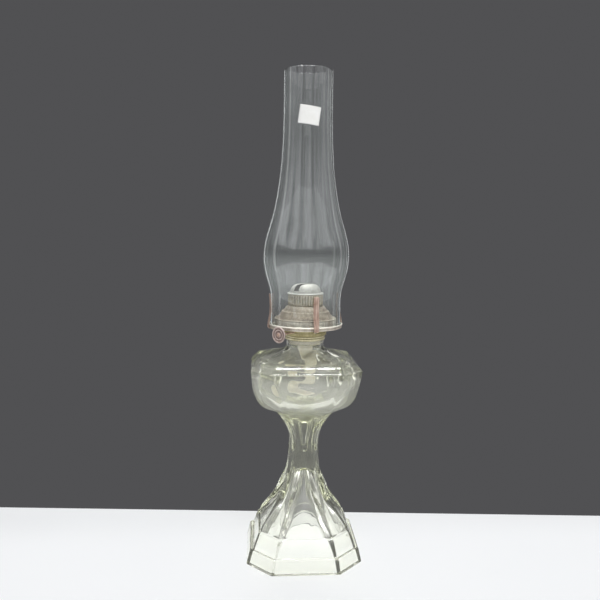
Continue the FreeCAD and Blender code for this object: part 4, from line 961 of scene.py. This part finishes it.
# %% Table
TABLE_SIZE, TABLE_BACK = (2.6, 1.8, 0.03), 0.093
SHINE_FAR, SHINE_NEAR = 0.45, 0.72
bm = bmesh.new()
bmesh.ops.create_cube(bm, size=1.0)
bmesh.ops.scale(bm, verts=bm.verts, vec=TABLE_SIZE)
bmesh.ops.translate(bm, verts=bm.verts,
                    vec=(0, TABLE_BACK - TABLE_SIZE[1] / 2, -TABLE_SIZE[2] / 2))
bmesh.ops.rotate(bm, verts=bm.verts, cent=(0, 0, 0), matrix=Matrix.Rotation(ROUND, 3, "Z"))
bmesh.ops.bevel(bm, geom=bm.edges[:], offset=0.002, segments=3, affect="EDGES", profile=0.5,
                material=-1)
table_finish = Finish("table_top")
haze = table_finish.cloud(9.0, 3.0)
table_skin = table_finish.node("ShaderNodeBsdfPrincipled", None, {
    "Base Color": table_finish.tones(haze, [(0.3, (0.89, 0.905, 0.91)),
                                            (0.7, (0.92, 0.93, 0.935))]),
    "Roughness": 0.55})
backlit = table_finish.node("ShaderNodeEmission", None, {"Color": (0.97, 0.98, 1.0, 1.0),
                                                         "Strength": 1.0})
diffuse_ray = table_finish.wire("ShaderNodeLightPath", "Diffuse Depth").least(1.0)
through_glass = table_finish.wire("ShaderNodeLightPath", "Is Transmission Ray")
shine = table_finish.smooth(table_finish.along("Y"), TABLE_BACK, 0.0, SHINE_FAR, SHINE_NEAR)
table_both = table_finish.node("ShaderNodeMixShader", None, {
    0: shine * (1 - diffuse_ray) * (1 - 0.3 * through_glass), 1: table_skin, 2: backlit})
table = made("table", bm, None, None, table_finish.surface(table_both))

# %% [markdown]
# ## The room
# Clear glass is drawn by what it bends into view, so the world has three faces.  The camera, and
# rays that go straight through glass, see a plain dark backdrop.  A ray that was mirrored on its
# way sees a room: dark behind the lamp, and in front a dim floor under a wall with bright
# patches.  A ray that has met a dull surface sees an even grey, so that the light on the lamp
# stays plain.  Light Path tells them apart: a ray was mirrored if it has met more surfaces than
# it has passed through, and one is taken away because meeting the world counts as well.

# %% World
BACKDROP, BEHIND = (0.082, 0.082, 0.086, 1.0), (0.12, 0.12, 0.125, 1.0)
FLOOR, WINDOWS = (0.22, 0.22, 0.225, 1.0), (1.7, 1.72, 1.76, 1.0)
EVEN_GREY = (0.34, 0.345, 0.35, 1.0)
world = bpy.data.worlds.new("room")
bpy.context.scene.world = world
room = Finish("room", world)
path_kind = room.node("ShaderNodeLightPath")
mirrored_times = (Wire(room, path_kind.outputs["Ray Depth"]) - 1.0
                  - Wire(room, path_kind.outputs["Transmission Depth"]))
dull_times = Wire(room, path_kind.outputs["Diffuse Depth"])
sky_way = room.wire("ShaderNodeTexCoord", "Generated")
way = room.node("ShaderNodeSeparateXYZ", None, {0: sky_way})
front = room.smooth(Wire(room, way.outputs["Y"]), 0.70, 0.15)
wall = room.smooth(Wire(room, way.outputs["Z"]), 0.08, 0.34)
patches = room.wire("ShaderNodeTexNoise", 0, None, {
    "Vector": room.wire("ShaderNodeMapping", 0, None, {"Vector": sky_way,
                                                       "Scale": (1.0, 1.0, 0.2)}),
    "Scale": 4.2, "Detail": 2.0})
lit_room = room.blended(wall * (patches * 4.0 - 1.3), FLOOR, WINDOWS)
around = room.blended(front, BEHIND, lit_room)
tone = room.blended(mirrored_times, BACKDROP, around)
tone = room.blended(dull_times, tone, EVEN_GREY)
sky = room.node("ShaderNodeBackground", None, {"Color": tone, "Strength": 1.0})
room.node("ShaderNodeOutputWorld", None, {"Surface": sky})
print("room has", len(room.tree.nodes), "nodes")

# %% [markdown]
# ## Lights
# Tall narrow panels stand at the sides and behind, where curved glass picks them up as bright
# lines along its edges.  Two more hang overhead, one in front and one behind, for the tops of the
# brass and the bowl's bevel.  A broad soft panel fills in from the front.  It would show as a
# white sheet in the glass, so mirrored rays and rays through glass don't see it.

# %% Lights
LIT_MIDDLE = Vector((0, 0, 0.3))


def panel(name, place, size, power, mirrored=True):
    """A rectangular light, in metres and watts, that faces the middle of the oil lamp."""
    data = bpy.data.lights.new(name, "AREA")
    data.shape, data.size, data.size_y, data.energy = "RECTANGLE", size[0], size[1], power
    lamp = bpy.data.objects.new(name, data)
    bpy.context.collection.objects.link(lamp)
    lamp.location = place
    lamp.rotation_euler = (LIT_MIDDLE - Vector(place)).to_track_quat("-Z", "Y").to_euler()
    lamp.visible_camera = False
    lamp.visible_glossy = lamp.visible_transmission = mirrored
    print("light", name, power, "W")


panel("left_strip", (-0.52, 0.98, 0.40), (0.07, 1.1), 0.28)
panel("right_strip", (0.50, 0.98, 0.40), (0.06, 1.1), 0.22)
panel("left_panel", (-0.95, 0.12, 0.45), (0.12, 0.9), 0.35)
panel("right_panel", (0.98, 0.20, 0.45), (0.12, 0.9), 0.30)
panel("key", (0.05, -0.48, 1.40), (0.34, 0.14), 4.0)
panel("back_key", (0.02, 0.55, 1.30), (0.34, 0.16), 5.5)
panel("front_wall", (0.25, -1.75, 0.55), (2.0, 1.1), 18.0, mirrored=False)

# %% [markdown]
# The Standard view shows a colour about as it is written.

bpy.context.scene.view_settings.view_transform = "Standard"
